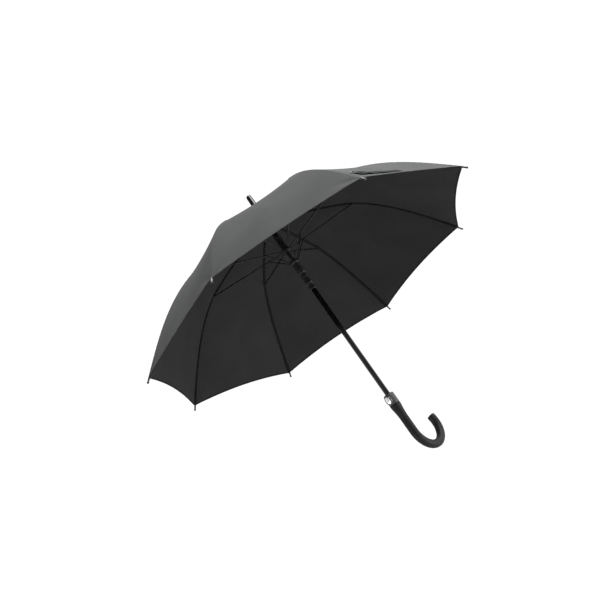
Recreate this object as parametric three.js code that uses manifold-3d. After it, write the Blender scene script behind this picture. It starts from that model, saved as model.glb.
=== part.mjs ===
// Stick umbrella with eight ribs, shown open.
// Millimetres, +Z up along the shaft towards the ferrule, origin on the shaft's axis in the middle of
// the grip, hook towards +X, push button towards -X. Each rib and what hangs on it is drawn in the XZ
// plane (X outwards from the shaft, Y across the rib) and turned round Z to its place.
import * as THREE from 'three';
import { mergeVertices } from 'three/addons/utils/BufferGeometryUtils.js';
import Module from 'manifold-3d';

const wasm = await Module();
wasm.setup();

// ---- driving dimensions -------------------------------------------------------------------------
const RIB_COUNT = 8;
const FIRST_RIB_DEGREES = 16.4; // from the hook's plane to the first rib
const STRAP_RIB = 6; // the rib beside the panel that carries the tie strap
const GAP = 0.4; // between pieces that touch

const SHAFT_RADIUS = 7;
const SHAFT_BOTTOM_Z = -12;
const SHAFT_TOP_Z = 691;
const SLIDE_BORE_RADIUS = SHAFT_RADIUS + 0.4;
const FIXED_BORE_RADIUS = SHAFT_RADIUS + 0.3;

const PIVOT_RADIUS = 11; // pivot circle of the crown, upper ring and runner
const CROWN_Z = 660; // height of the ribs' inner pivots
const JOINT_R = 258; // the stretcher's pivot on the rib
const JOINT_Z = 611;
const RING_Z = 2 * JOINT_Z - CROWN_Z; // rib and stretcher arms are equally long
const RUNNER_DROP = 43; // from the upper ring's pivots down to the runner's
const RUNNER_Z = RING_Z - RUNNER_DROP;
const LINK_REACH = 52; // along the stretcher, from the ring's pivot to the link's

const SPLIT = [262, 613.6]; // where the inner rib ends and the springy outer rib starts
const TIP = [504, 398.5]; // rib centre line under the canopy's corner
const INNER_BOW = 8;
const OUTER_BOW = 17.7;
const OUTER_BOW_SKEW = 0.34; // moves the bow's peak towards the split
const TIP_OVERHANG = 13; // bare rib end past the corner

const RIB_HEIGHT = 2.5;
const RIB_WIDTH = 2.5;
const RIB_END_HEIGHT = 1.7;
const CAP_RADIUS = 1.7;
const STRETCHER_HEIGHT = 2.4;
const STRETCHER_WIDTH = 2;
const LINK_HEIGHT = 2.2;
const LINK_SIDE = [1.4, 2.8]; // the links lie beside the stretchers
const EYE_RADIUS = 2;

const CLOTH = 0.8; // canopy thickness
const CLOTH_LIFT = 2.6; // canopy's middle above a rib's centre line
const CLOTH_START = [8.4, 668.7]; // canopy's inner edge over the crown
const CLOTH_SHOULDER = [15.5, 668.5];
const CLOTH_LANDING_R = 34; // from here out the canopy follows the rib
const CLOTH_HOLLOW = 6; // how far a panel's middle sinks between two ribs
const HEM_SCALLOP = 13; // how far the hem curves in between two corners

const CROWN_RADIUS = 14;
const RING_RADIUS = 13;
const SLEEVE_RADIUS = 9.5;
const RUNNER_BODY_RADIUS = 10.7;
const NECK_RADIUS = 9;
const FLANGE_RADIUS = 10.3;
const COIL_RADIUS = 8.5; // the opening spring, to the middle of its wire

const COLLAR_RADIUS = 14.5;
const COLLAR_TOP_Z = 72;
const COLLAR_BOTTOM_Z = 42;
const STEM_RADIUS = 10.9;
const STEM_BOTTOM_Z = 20;
const BUTTON_Z = 57;
const BUTTON_WIDTH = 15;
const BUTTON_HEIGHT = 21;

const GRIP_RADIUS = 11;
const HOOK_START_Z = -40;
const HOOK_RADIUS = 52;
const HOOK_DEGREES = 200;

// ---- materials ----------------------------------------------------------------------------------
const paintedSteel = new THREE.MeshStandardMaterial({ color: 0x141416, roughness: 0.25, metalness: 0.8 });
const blackPlastic = new THREE.MeshStandardMaterial({ color: 0x1a1a1c, roughness: 0.5, metalness: 0 });
const greyPlastic = new THREE.MeshStandardMaterial({ color: 0x3a3a3d, roughness: 0.45, metalness: 0 });
const softGrip = new THREE.MeshStandardMaterial({ color: 0x1c1c1e, roughness: 0.8, metalness: 0 });
const blackCloth = new THREE.MeshStandardMaterial({ color: 0x2a2b2c, roughness: 0.9, metalness: 0 });
const silver = new THREE.MeshStandardMaterial({ color: 0xd0d2d4, roughness: 0.2, metalness: 0.9 });

// ---- solids -------------------------------------------------------------------------------------
function toSolid(geometry) {
  const bare = geometry.clone();
  bare.deleteAttribute('normal');
  bare.deleteAttribute('uv');
  const merged = mergeVertices(bare, 1e-4);
  const corners = merged.index.array;
  const triangles = [];
  for (let i = 0; i < corners.length; i += 3) {
    const [a, b, c] = [corners[i], corners[i + 1], corners[i + 2]];
    if (a !== b && b !== c && c !== a) {
      triangles.push(a, b, c);
    }
  }
  const mesh = new wasm.Mesh({
    numProp: 3,
    vertProperties: new Float32Array(merged.attributes.position.array),
    triVerts: new Uint32Array(triangles),
  });
  return new wasm.Manifold(mesh);
}

function toGeometry(solid) {
  const mesh = solid.getMesh();
  const geometry = new THREE.BufferGeometry();
  geometry.setAttribute('position', new THREE.BufferAttribute(new Float32Array(mesh.vertProperties), 3));
  geometry.setIndex(new THREE.BufferAttribute(new Uint32Array(mesh.triVerts), 1));
  geometry.computeVertexNormals();
  return geometry;
}

function join(...geometries) {
  return toGeometry(geometries.map(toSolid).reduce((sum, piece) => sum.add(piece)));
}

function cut(body, ...tools) {
  return toGeometry(tools.map(toSolid).reduce((rest, tool) => rest.subtract(tool), toSolid(body)));
}

// A profile of [radius, z] points turned round Z, listed anticlockwise.
function turned(profile, sides = 24) {
  const points = profile.map(([radius, z]) => new THREE.Vector2(radius, z));
  return new THREE.LatheGeometry(points, sides).rotateX(Math.PI / 2);
}

// A ring profile comes back to its first point.
function turnedRing(profile, sides = 24) {
  return turned([...profile, profile[0]], sides);
}

// An outline of [x, z] points as a plate from y = low to y = high.
function plate(outline, low, high) {
  const shape = new THREE.Shape(outline.map(([x, z]) => new THREE.Vector2(x, z)));
  const geometry = new THREE.ExtrudeGeometry(shape, { depth: high - low, bevelEnabled: false });
  return geometry.rotateX(Math.PI / 2).translate(0, high, 0);
}

function disc([x, z], radius, low, high, sides = 8) {
  const outline = [];
  for (let i = 0; i < sides; i += 1) {
    const turn = (2 * Math.PI * i) / sides;
    outline.push([x + radius * Math.cos(turn), z + radius * Math.sin(turn)]);
  }
  return plate(outline, low, high);
}

function block(xLow, xHigh, yLow, yHigh, zLow, zHigh) {
  const geometry = new THREE.BoxGeometry(xHigh - xLow, yHigh - yLow, zHigh - zLow);
  return geometry.translate((xLow + xHigh) / 2, (yLow + yHigh) / 2, (zLow + zHigh) / 2);
}

// A flat bar between two pivots with a round eye at each end.
function bar(from, to, height, low, high) {
  const length = Math.hypot(to[0] - from[0], to[1] - from[1]);
  const across = [(-(to[1] - from[1]) / length) * (height / 2), ((to[0] - from[0]) / length) * (height / 2)];
  const outline = [
    [from[0] - across[0], from[1] - across[1]],
    [to[0] - across[0], to[1] - across[1]],
    [to[0] + across[0], to[1] + across[1]],
    [from[0] + across[0], from[1] + across[1]],
  ];
  return join(plate(outline, low, high), disc(from, EYE_RADIUS, low, high), disc(to, EYE_RADIUS, low, high));
}

function repeatRound(make) {
  return Array.from({ length: RIB_COUNT }, (_, i) => make().rotateZ(ribTurn(i + 1)));
}

function ribTurn(number) {
  return THREE.MathUtils.degToRad(FIRST_RIB_DEGREES) + ((number - 1) * 2 * Math.PI) / RIB_COUNT;
}

// ---- rib centre line and canopy surface ---------------------------------------------------------
// A curve from start to end that bulges up and outwards: [x, z] and its unit normal at share t.
function bowed(start, end, bow, skew, t) {
  const run = [end[0] - start[0], end[1] - start[1]];
  const length = Math.hypot(...run);
  const normal = [-run[1] / length, run[0] / length];
  const rise = 4 * bow * t * (1 - t) * (1 + skew * (1 - 2 * t));
  const slope = 4 * bow * ((1 - 2 * t) * (1 + skew * (1 - 2 * t)) - 2 * skew * t * (1 - t));
  const along = [run[0] + normal[0] * slope, run[1] + normal[1] * slope];
  const speed = Math.hypot(...along);
  return {
    point: [start[0] + run[0] * t + normal[0] * rise, start[1] + run[1] * t + normal[1] * rise],
    normal: [-along[1] / speed, along[0] / speed],
  };
}

// Reach 0 is the crown, 1 is the split and 2 is the canopy's corner.
function ribLine(reach) {
  if (reach <= 1) {
    return bowed([PIVOT_RADIUS, CROWN_Z], SPLIT, INNER_BOW, 0, reach);
  }
  return bowed(SPLIT, TIP, OUTER_BOW, OUTER_BOW_SKEW, reach - 1);
}

function clothLine(reach) {
  const { point, normal } = ribLine(reach);
  const lifted = [point[0] + normal[0] * CLOTH_LIFT, point[1] + normal[1] * CLOTH_LIFT];
  if (lifted[0] >= CLOTH_LANDING_R) {
    return lifted;
  }
  const landing = ribLine((CLOTH_LANDING_R - PIVOT_RADIUS) / (SPLIT[0] - PIVOT_RADIUS));
  const landingZ = landing.point[1] + CLOTH_LIFT;
  const shoulderR = CLOTH_SHOULDER[0];
  const outward = CLOTH_START[0] + ((CLOTH_LANDING_R - CLOTH_START[0]) * (lifted[0] - PIVOT_RADIUS)) /
    (CLOTH_LANDING_R - PIVOT_RADIUS);
  if (outward <= shoulderR) {
    return [outward, CLOTH_START[1]];
  }
  const down = (outward - shoulderR) / (CLOTH_LANDING_R - shoulderR);
  const ease = down * down * (3 - 2 * down);
  return [outward, CLOTH_SHOULDER[1] + (landingZ - CLOTH_SHOULDER[1]) * ease];
}

// Canopy's middle surface round the rib in the XZ plane. Side -1 and 1 are the neighbouring ribs.
function canopyPoint(reach, side) {
  const share = Math.abs(side);
  const turn = (Math.sign(side) * 2 * Math.PI) / RIB_COUNT;
  const [r, z] = clothLine(reach);
  const x = r * (1 - share + share * Math.cos(turn));
  const y = r * share * Math.sin(turn);
  const hollow = CLOTH_HOLLOW * 4 * share * (1 - share) * Math.sin((Math.PI * reach) / 2.2) ** 2;
  const { normal } = ribLine(reach);
  return new THREE.Vector3(
    x - hollow * normal[0] * Math.cos(turn / 2),
    y - hollow * normal[0] * Math.sin(turn / 2),
    z - hollow * normal[1],
  );
}

function canopyNormal(reach, side) {
  const step = 0.01;
  const inside = side === 0 ? 0 : side - Math.sign(side) * step;
  const outside = side === 0 ? 0 : side + Math.sign(side) * step;
  const out = canopyPoint(Math.min(reach + step, 2), side).sub(canopyPoint(Math.max(reach - step, 0), side));
  const across = side === 0
    ? new THREE.Vector3(0, 1, 0)
    : canopyPoint(reach, outside).sub(canopyPoint(reach, inside)).multiplyScalar(Math.sign(side));
  return out.cross(across).normalize();
}

// A closed sheet of the given thickness over a grid of [reach, side] pairs, lifted off the surface.
function sheet(grid, thickness, lift = 0) {
  const rows = grid.length;
  const columns = grid[0].length;
  const points = [];
  for (const face of [thickness / 2, -thickness / 2]) {
    for (const row of grid) {
      for (const [reach, side] of row) {
        const normal = canopyNormal(reach, side);
        points.push(canopyPoint(reach, side).addScaledVector(normal, lift + face));
      }
    }
  }
  const index = [];
  const at = (face, row, column) => (face * rows + row) * columns + column;
  const quad = (a, b, c, d) => index.push(a, b, c, a, c, d);
  for (let i = 0; i + 1 < rows; i += 1) {
    for (let j = 0; j + 1 < columns; j += 1) {
      quad(at(0, i, j), at(0, i + 1, j), at(0, i + 1, j + 1), at(0, i, j + 1));
      quad(at(1, i, j), at(1, i, j + 1), at(1, i + 1, j + 1), at(1, i + 1, j));
    }
  }
  for (let i = 0; i + 1 < rows; i += 1) {
    quad(at(0, i, 0), at(1, i, 0), at(1, i + 1, 0), at(0, i + 1, 0));
    quad(at(0, i, columns - 1), at(0, i + 1, columns - 1), at(1, i + 1, columns - 1), at(1, i, columns - 1));
  }
  for (let j = 0; j + 1 < columns; j += 1) {
    quad(at(0, 0, j), at(0, 0, j + 1), at(1, 0, j + 1), at(1, 0, j));
    quad(at(0, rows - 1, j), at(1, rows - 1, j), at(1, rows - 1, j + 1), at(0, rows - 1, j + 1));
  }
  const geometry = new THREE.BufferGeometry();
  geometry.setAttribute('position', new THREE.Float32BufferAttribute(points.flatMap((p) => p.toArray()), 3));
  geometry.setIndex(index);
  geometry.computeVertexNormals();
  return geometry;
}

function spread(low, high, steps) {
  return Array.from({ length: steps + 1 }, (_, i) => low + ((high - low) * i) / steps);
}

// Rows of the canopy's grid by reach: close together over the crown, then evenly spaced.
const INNER_CLOTH_ROWS = [0, 0.026, 0.045, 0.064, 0.0925, ...spread(0.25, 0.998, 4)];
const OUTER_CLOTH_ROWS = spread(1.002, 2, 8);

// The half panels either side of one rib, from the middle of one panel to the middle of the next.
function canopyPiece(reaches, hasHem) {
  const outerLength = Math.hypot(TIP[0] - SPLIT[0], TIP[1] - SPLIT[1]);
  const grid = reaches.map((reach) => {
    const halfWidth = clothLine(reach)[0] * Math.sin(Math.PI / RIB_COUNT);
    const middle = 0.5 * (1 - GAP / 2 / halfWidth);
    return [-1, -0.5, 0, 0.5, 1].map((share) => {
      const side = share * middle;
      const scallop = hasHem ? (HEM_SCALLOP / outerLength) * 4 * Math.abs(side) * (1 - Math.abs(side)) : 0;
      return [reach - scallop * (reach - 1), side];
    });
  });
  return sheet(grid, CLOTH);
}

// ---- ribs and linkage ---------------------------------------------------------------------------
function ribBeam(fromReach, toReach, steps, startHeight, endHeight) {
  const stations = spread(fromReach, toReach, steps).map((reach, i) => {
    const { point, normal } = ribLine(reach);
    const half = (startHeight + ((endHeight - startHeight) * i) / steps) / 2;
    return { point, normal, half };
  });
  const edge = (sign) => stations.map(({ point, normal, half }) => [
    point[0] + sign * normal[0] * half,
    point[1] + sign * normal[1] * half,
  ]);
  return plate([...edge(-1), ...edge(1).reverse()], -RIB_WIDTH / 2, RIB_WIDTH / 2);
}

function innerRib() {
  const pivot = [PIVOT_RADIUS, CROWN_Z];
  const cheekOutline = [
    [JOINT_R - EYE_RADIUS, JOINT_Z],
    [JOINT_R, JOINT_Z - EYE_RADIUS],
    [JOINT_R + EYE_RADIUS, JOINT_Z],
    [JOINT_R + EYE_RADIUS, JOINT_Z + 3],
    [JOINT_R - EYE_RADIUS, JOINT_Z + 4],
  ];
  const cheek = plate(cheekOutline, -RIB_WIDTH / 2 - 1, -RIB_WIDTH / 2 + 0.05);
  const cheekTop = block(JOINT_R - EYE_RADIUS, JOINT_R + EYE_RADIUS, -RIB_WIDTH / 2 - 1, 0,
    JOINT_Z + 2.9, JOINT_Z + 4);
  const beam = ribBeam(0, 0.998, 8, RIB_HEIGHT, RIB_HEIGHT);
  return join(beam, disc(pivot, EYE_RADIUS, -RIB_WIDTH / 2, RIB_WIDTH / 2), cheek, cheekTop);
}

function outerRib() {
  const end = ribLine(2);
  const along = [end.normal[1], -end.normal[0]];
  const overhang = [end.point[0] + along[0] * TIP_OVERHANG, end.point[1] + along[1] * TIP_OVERHANG];
  const half = RIB_END_HEIGHT / 2;
  const outline = [
    [end.point[0] - end.normal[0] * half - along[0], end.point[1] - end.normal[1] * half - along[1]],
    [overhang[0] - end.normal[0] * half, overhang[1] - end.normal[1] * half],
    [overhang[0] + end.normal[0] * half, overhang[1] + end.normal[1] * half],
    [end.point[0] + end.normal[0] * half - along[0], end.point[1] + end.normal[1] * half - along[1]],
  ];
  const cap = new THREE.SphereGeometry(CAP_RADIUS, 6, 4).translate(overhang[0], 0, overhang[1]);
  const beam = ribBeam(1.003, 2, 12, RIB_HEIGHT, RIB_END_HEIGHT);
  return join(beam, plate(outline, -RIB_END_HEIGHT / 2, RIB_END_HEIGHT / 2), cap);
}

const ringPivot = [PIVOT_RADIUS, RING_Z];
const jointPivot = [JOINT_R, JOINT_Z];
const armLength = Math.hypot(JOINT_R - PIVOT_RADIUS, JOINT_Z - RING_Z);
const linkPivot = [0, 1].map((i) => ringPivot[i] + ((jointPivot[i] - ringPivot[i]) * LINK_REACH) / armLength);

function stretcher() {
  return bar(ringPivot, jointPivot, STRETCHER_HEIGHT, -STRETCHER_WIDTH / 2, STRETCHER_WIDTH / 2);
}

function link() {
  return bar([PIVOT_RADIUS, RUNNER_Z], linkPivot, LINK_HEIGHT, LINK_SIDE[0], LINK_SIDE[1]);
}

function crown() {
  const body = turnedRing([
    [FIXED_BORE_RADIUS, CROWN_Z - 7],
    [CROWN_RADIUS - 1, CROWN_Z - 7],
    [CROWN_RADIUS, CROWN_Z - 6],
    [CROWN_RADIUS, CROWN_Z + 6.5],
    [CROWN_RADIUS - 1, CROWN_Z + 7.5],
    [FIXED_BORE_RADIUS, CROWN_Z + 7.5],
  ]);
  const slotHalf = RIB_WIDTH / 2 + GAP;
  const slots = repeatRound(() => block(8.5, 16, -slotHalf, slotHalf, CROWN_Z - 9, CROWN_Z + 3.2));
  return cut(body, ...slots);
}

function upperRing() {
  const body = turnedRing([
    [SLIDE_BORE_RADIUS, RING_Z - 4],
    [RING_RADIUS, RING_Z - 4],
    [RING_RADIUS, RING_Z + 5.5],
    [SLEEVE_RADIUS, RING_Z + 5.5],
    [SLEEVE_RADIUS, RING_Z + 50],
    [SLIDE_BORE_RADIUS, RING_Z + 50],
  ]);
  const slotHalf = STRETCHER_WIDTH / 2 + GAP;
  const slots = repeatRound(() => block(9, 15, -slotHalf, slotHalf, RING_Z - 2.4, RING_Z + 7));
  const linkWays = repeatRound(() => (
    block(9.3, 15, LINK_SIDE[0] - GAP, LINK_SIDE[1] + GAP, RING_Z - 6, RING_Z + 7)));
  return cut(body, ...slots, ...linkWays);
}

function runner() {
  const bodyBottom = RUNNER_Z - 42;
  const flangeMiddle = RUNNER_Z - 75;
  const neckBottom = RUNNER_Z - 96;
  const body = turnedRing([
    [SLIDE_BORE_RADIUS, neckBottom],
    [NECK_RADIUS, neckBottom],
    [NECK_RADIUS, flangeMiddle - 3],
    [FLANGE_RADIUS, flangeMiddle - 2],
    [FLANGE_RADIUS, flangeMiddle + 2],
    [NECK_RADIUS, flangeMiddle + 3],
    [NECK_RADIUS, bodyBottom],
    [RUNNER_BODY_RADIUS - 1, bodyBottom],
    [RUNNER_BODY_RADIUS, bodyBottom + 1.5],
    [RUNNER_BODY_RADIUS, RUNNER_Z - 5],
    [RING_RADIUS, RUNNER_Z - 5],
    [RING_RADIUS, RUNNER_Z + 4.5],
    [SLIDE_BORE_RADIUS, RUNNER_Z + 4.5],
  ]);
  const slots = repeatRound(() => (
    block(8.7, 15, LINK_SIDE[0] - GAP, LINK_SIDE[1] + GAP, RUNNER_Z - 2.4, RUNNER_Z + 6)));
  return cut(body, ...slots);
}

class Helix extends THREE.Curve {
  constructor(radius, bottom, top, turns) {
    super();
    Object.assign(this, { radius, bottom, top, turns });
  }

  getPoint(t, target = new THREE.Vector3()) {
    const turn = 2 * Math.PI * this.turns * t;
    const z = this.bottom + (this.top - this.bottom) * t;
    return target.set(this.radius * Math.cos(turn), this.radius * Math.sin(turn), z);
  }
}

function openingSpring() {
  const wire = 0.7;
  const turns = 6;
  const bottom = RUNNER_Z + 4.5 + GAP + wire;
  const top = RING_Z - 4 - GAP - wire;
  const section = new THREE.Shape(spread(0, 5, 5).map((i) => (
    new THREE.Vector2(wire * Math.cos((Math.PI * i) / 3), wire * Math.sin((Math.PI * i) / 3)))));
  return new THREE.ExtrudeGeometry(section, {
    steps: turns * 10,
    extrudePath: new Helix(COIL_RADIUS, bottom, top, turns),
    bevelEnabled: false,
  });
}

// ---- shaft, ferrule and rosette -----------------------------------------------------------------
function shaft() {
  return turned([[0, SHAFT_BOTTOM_Z], [SHAFT_RADIUS, SHAFT_BOTTOM_Z], [SHAFT_RADIUS, SHAFT_TOP_Z],
    [0, SHAFT_TOP_Z]]);
}

function rosette() {
  const bottom = CLOTH_START[1] + CLOTH / 2 + GAP;
  return turnedRing([[FIXED_BORE_RADIUS, bottom], [12.5, bottom], [13, bottom + 0.6],
    [9, bottom + 1.6], [FIXED_BORE_RADIUS, bottom + 1.6]]);
}

function ferrule() {
  const bottom = CLOTH_START[1] + CLOTH / 2 + GAP + 1.6 + GAP;
  return turned([
    [0, SHAFT_TOP_Z + GAP],
    [FIXED_BORE_RADIUS, SHAFT_TOP_Z + GAP],
    [FIXED_BORE_RADIUS, bottom],
    [10.4, bottom],
    [10.4, bottom + 3],
    [9.8, bottom + 5],
    [9.7, SHAFT_TOP_Z + 2],
    [9.2, SHAFT_TOP_Z + 5],
    [7.6, 763],
    [6.4, 767],
    [0, 767],
  ], 20);
}

// ---- handle -------------------------------------------------------------------------------------
function oval(width, height, xLow, xHigh, sides = 24) {
  const outline = spread(0, sides - 1, sides - 1).map((i) => {
    const turn = (2 * Math.PI * i) / sides;
    return new THREE.Vector2((height / 2) * Math.cos(turn), (width / 2) * Math.sin(turn));
  });
  const options = { depth: xHigh - xLow, bevelEnabled: false };
  const prism = new THREE.ExtrudeGeometry(new THREE.Shape(outline), options);
  return prism.rotateY(-Math.PI / 2).translate(xHigh, 0, BUTTON_Z);
}

function collar() {
  const body = turned([
    [0, STEM_BOTTOM_Z],
    [STEM_RADIUS, STEM_BOTTOM_Z],
    [STEM_RADIUS, COLLAR_BOTTOM_Z],
    [COLLAR_RADIUS, COLLAR_BOTTOM_Z],
    [COLLAR_RADIUS, COLLAR_TOP_Z - 2],
    [COLLAR_RADIUS - 1.5, COLLAR_TOP_Z],
    [0, COLLAR_TOP_Z],
  ], 28);
  const boss = oval(BUTTON_WIDTH + 4, BUTTON_HEIGHT + 4, -15.2, -11.5);
  const socket = turned([
    [0, STEM_BOTTOM_Z - 5],
    [FIXED_BORE_RADIUS, STEM_BOTTOM_Z - 5],
    [FIXED_BORE_RADIUS, 25],
    [NECK_RADIUS + 0.6, 25],
    [NECK_RADIUS + 0.6, 51],
    [FLANGE_RADIUS + 0.7, 51],
    [FLANGE_RADIUS + 0.7, COLLAR_TOP_Z + 5],
    [0, COLLAR_TOP_Z + 5],
  ], 28);
  const well = oval(BUTTON_WIDTH + 2 * GAP, BUTTON_HEIGHT + 2 * GAP, -20, -8);
  return cut(join(body, boss), socket, well);
}

function pushButton() {
  const face = oval(BUTTON_WIDTH, BUTTON_HEIGHT, -16.2, -12);
  const dome = new THREE.SphereGeometry(1, 24, 16);
  dome.scale(5.4, BUTTON_WIDTH / 2 + 4, BUTTON_HEIGHT / 2 + 4).translate(-12, 0, BUTTON_Z);
  return toGeometry(toSolid(face).intersect(toSolid(dome)));
}

// Rings of points round a centre line in the XZ plane, closed by a flat end at each side.
function sweptRound(stations, sides = 16) {
  const points = [];
  for (const { x, z, turn, radius } of stations) {
    for (let i = 0; i < sides; i += 1) {
      const angle = (2 * Math.PI * i) / sides;
      const out = radius * Math.cos(angle);
      points.push(x + out * Math.cos(turn), radius * Math.sin(angle), z + out * Math.sin(turn));
    }
  }
  const index = [];
  for (let s = 0; s + 1 < stations.length; s += 1) {
    for (let i = 0; i < sides; i += 1) {
      const next = (i + 1) % sides;
      const [a, b] = [s * sides + i, s * sides + next];
      index.push(a, a + sides, b, b, a + sides, b + sides);
    }
  }
  const last = (stations.length - 1) * sides;
  for (let i = 1; i + 1 < sides; i += 1) {
    index.push(0, i, i + 1, last, last + i + 1, last + i);
  }
  const geometry = new THREE.BufferGeometry();
  geometry.setAttribute('position', new THREE.Float32BufferAttribute(points, 3));
  geometry.setIndex(index);
  return geometry;
}

function hookStation(degrees, radius, extra = 0) {
  const turn = THREE.MathUtils.degToRad(degrees);
  return {
    x: HOOK_RADIUS * (1 - Math.cos(turn)) + extra * Math.sin(turn),
    z: HOOK_START_Z - HOOK_RADIUS * Math.sin(turn) - extra * Math.cos(turn),
    turn,
    radius,
  };
}

function handle() {
  const straight = (z, radius) => ({ x: 0, z, turn: 0, radius });
  const stations = [
    straight(COLLAR_BOTTOM_Z - GAP, COLLAR_RADIUS),
    straight(34, 14.1),
    straight(26, 13),
    straight(16, 11.9),
    straight(4, GRIP_RADIUS + 0.1),
    straight(-12, GRIP_RADIUS),
    ...spread(0, HOOK_DEGREES, 16).map((degrees) => hookStation(degrees, GRIP_RADIUS)),
    hookStation(HOOK_DEGREES, GRIP_RADIUS - 0.7, 1.3),
    hookStation(HOOK_DEGREES, GRIP_RADIUS - 2.2, 2),
  ];
  const bore = turned([
    [0, SHAFT_BOTTOM_Z - GAP],
    [FIXED_BORE_RADIUS, SHAFT_BOTTOM_Z - GAP],
    [FIXED_BORE_RADIUS, STEM_BOTTOM_Z - GAP],
    [STEM_RADIUS + GAP, STEM_BOTTOM_Z - GAP],
    [STEM_RADIUS + GAP, COLLAR_BOTTOM_Z + 5],
    [0, COLLAR_BOTTOM_Z + 5],
  ]);
  return cut(sweptRound(stations), bore);
}

// ---- tie strap ----------------------------------------------------------------------------------
function strapPatch(reaches, sides, thickness, lift) {
  return sheet(reaches.map((reach) => sides.map((side) => [reach, side])), thickness, lift);
}

function tieStrap() {
  return strapPatch([1.86, 1.93], spread(0.08, 0.46, 6), 0.8, CLOTH / 2 + GAP + 0.4);
}

function strapTab() {
  return strapPatch([1.8, 1.85], [0.075, 0.115], 1.8, CLOTH / 2 + GAP + 0.9);
}

// ---- assembly -----------------------------------------------------------------------------------
const umbrella = new THREE.Group();
umbrella.name = 'stick_umbrella';

function place(name, geometry, material, group = umbrella) {
  const mesh = new THREE.Mesh(geometry, material);
  mesh.name = name;
  group.add(mesh);
}

place('shaft', shaft(), paintedSteel);
place('crown', crown(), blackPlastic);
place('rosette', rosette(), blackPlastic);
place('ferrule', ferrule(), paintedSteel);
place('upper_ring', upperRing(), blackPlastic);
place('opening_spring', openingSpring(), paintedSteel);
place('runner', runner(), blackPlastic);
place('handle_collar', collar(), greyPlastic);
place('push_button', pushButton(), silver);
place('handle_grip', handle(), softGrip);

const ribShapes = {
  inner_rib: [innerRib(), paintedSteel],
  outer_rib: [outerRib(), paintedSteel],
  stretcher: [stretcher(), paintedSteel],
  link: [link(), paintedSteel],
  canopy_inner: [canopyPiece(INNER_CLOTH_ROWS, false), blackCloth],
  canopy_outer: [canopyPiece(OUTER_CLOTH_ROWS, true), blackCloth],
};
for (let number = 1; number <= RIB_COUNT; number += 1) {
  const spoke = new THREE.Group();
  spoke.rotation.z = ribTurn(number);
  for (const [name, [geometry, material]] of Object.entries(ribShapes)) {
    place(`${name}_${number}`, geometry, material, spoke);
  }
  if (number === STRAP_RIB) {
    place('tie_strap', tieStrap(), blackCloth, spoke);
    place('tie_strap_tab', strapTab(), blackPlastic, spoke);
  }
  umbrella.add(spoke);
}

export default umbrella;
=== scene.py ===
"""Stick umbrella with eight ribs, shown open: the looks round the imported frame.

Lengths in this script are millimetres and become metres when a mesh is made. +Z runs up the shaft,
the hook curves towards +X and the push button faces -X. Whatever repeats at each rib is drawn round
the XZ plane (X outwards from the shaft, Y across the rib) and turned round Z to its rib.
"""
import math

import bmesh
import bpy
import numpy as np
from mathutils import Matrix, Vector


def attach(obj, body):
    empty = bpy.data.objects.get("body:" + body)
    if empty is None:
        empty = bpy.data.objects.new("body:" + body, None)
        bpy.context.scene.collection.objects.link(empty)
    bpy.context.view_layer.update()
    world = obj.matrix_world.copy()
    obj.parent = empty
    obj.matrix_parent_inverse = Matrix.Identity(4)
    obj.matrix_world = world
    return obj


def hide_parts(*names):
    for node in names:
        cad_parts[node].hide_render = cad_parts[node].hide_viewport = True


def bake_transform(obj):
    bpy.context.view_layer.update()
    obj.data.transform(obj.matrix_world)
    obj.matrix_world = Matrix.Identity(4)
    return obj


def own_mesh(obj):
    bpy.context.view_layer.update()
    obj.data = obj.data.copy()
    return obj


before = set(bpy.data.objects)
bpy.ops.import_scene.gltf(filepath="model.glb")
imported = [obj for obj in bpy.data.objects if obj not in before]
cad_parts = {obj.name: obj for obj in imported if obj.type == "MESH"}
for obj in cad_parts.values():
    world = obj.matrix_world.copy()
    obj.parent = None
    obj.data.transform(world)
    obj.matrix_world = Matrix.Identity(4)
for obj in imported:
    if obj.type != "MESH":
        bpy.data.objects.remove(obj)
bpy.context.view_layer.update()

MM = 0.001

# ---- driving dimensions, as in the CAD source ---------------------------------------------------
RIB_COUNT = 8
TURN = 2 * math.pi / RIB_COUNT
FIRST_RIB = math.radians(16.4)
STRAP_RIB = 6

PIVOT_RADIUS = 11
CROWN_Z = 660
JOINT = (258, 611)  # the stretcher's pivot on the rib
RING_Z = 2 * JOINT[1] - CROWN_Z
RUNNER_Z = RING_Z - 43
LINK_REACH = 52
SPLIT = (262, 613.6)  # where the steel inner rib ends and the springy outer rib starts
TIP = (504, 398.5)
INNER_BOW = 8
OUTER_BOW = 17.7
OUTER_BOW_SKEW = 0.34

CLOTH_LIFT = 2.2  # the cloth's middle above a rib's centre line
CLOTH_START = (8.4, 668.7)
CLOTH_SHOULDER = (15.5, 668.5)
CLOTH_LANDING_R = 34
CLOTH_HOLLOW = 6
HEM_SCALLOP = 13

SHAFT_RADIUS = 7
FIXED_BORE = SHAFT_RADIUS + 0.3
SLIDE_BORE = SHAFT_RADIUS + 0.4
SHAFT_TOP_Z = 691
CROWN_RADIUS = 14
RING_RADIUS = 13
LINK_SIDE = (1.4, 2.8)
SLEEVE_RADIUS = 9.5
NECK_RADIUS = 9
FLANGE_RADIUS = 10.3
COIL_RADIUS = 8.5
STEM_RADIUS = 10.9
COLLAR_RADIUS = 14.5
COLLAR_TOP_Z = 72
COLLAR_BOTTOM_Z = 42
BUTTON_Z = 57
BUTTON_SIZE = (15, 21)
GRIP_RADIUS = 11
HOOK_START_Z = -40
HOOK_RADIUS = 52
HOOK_DEGREES = 200
GRIP_ROUNDING = 4.2  # at the hook's end

# ---- cloth ---------------------------------------------------------------------------------------
CLOTH_HALF = 0.16  # half the cloth's thickness
SEAM_ALLOWANCE = 4.6  # cloth turned back under each seam
HEM_WIDTH = 6
FOLD_THICKNESS = 0.5  # how far a turned-back layer reaches below the cloth's middle
STITCH_PITCH = 3.2
STITCH_LENGTH = 2.5
STITCH_RADIUS = 0.17


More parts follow.
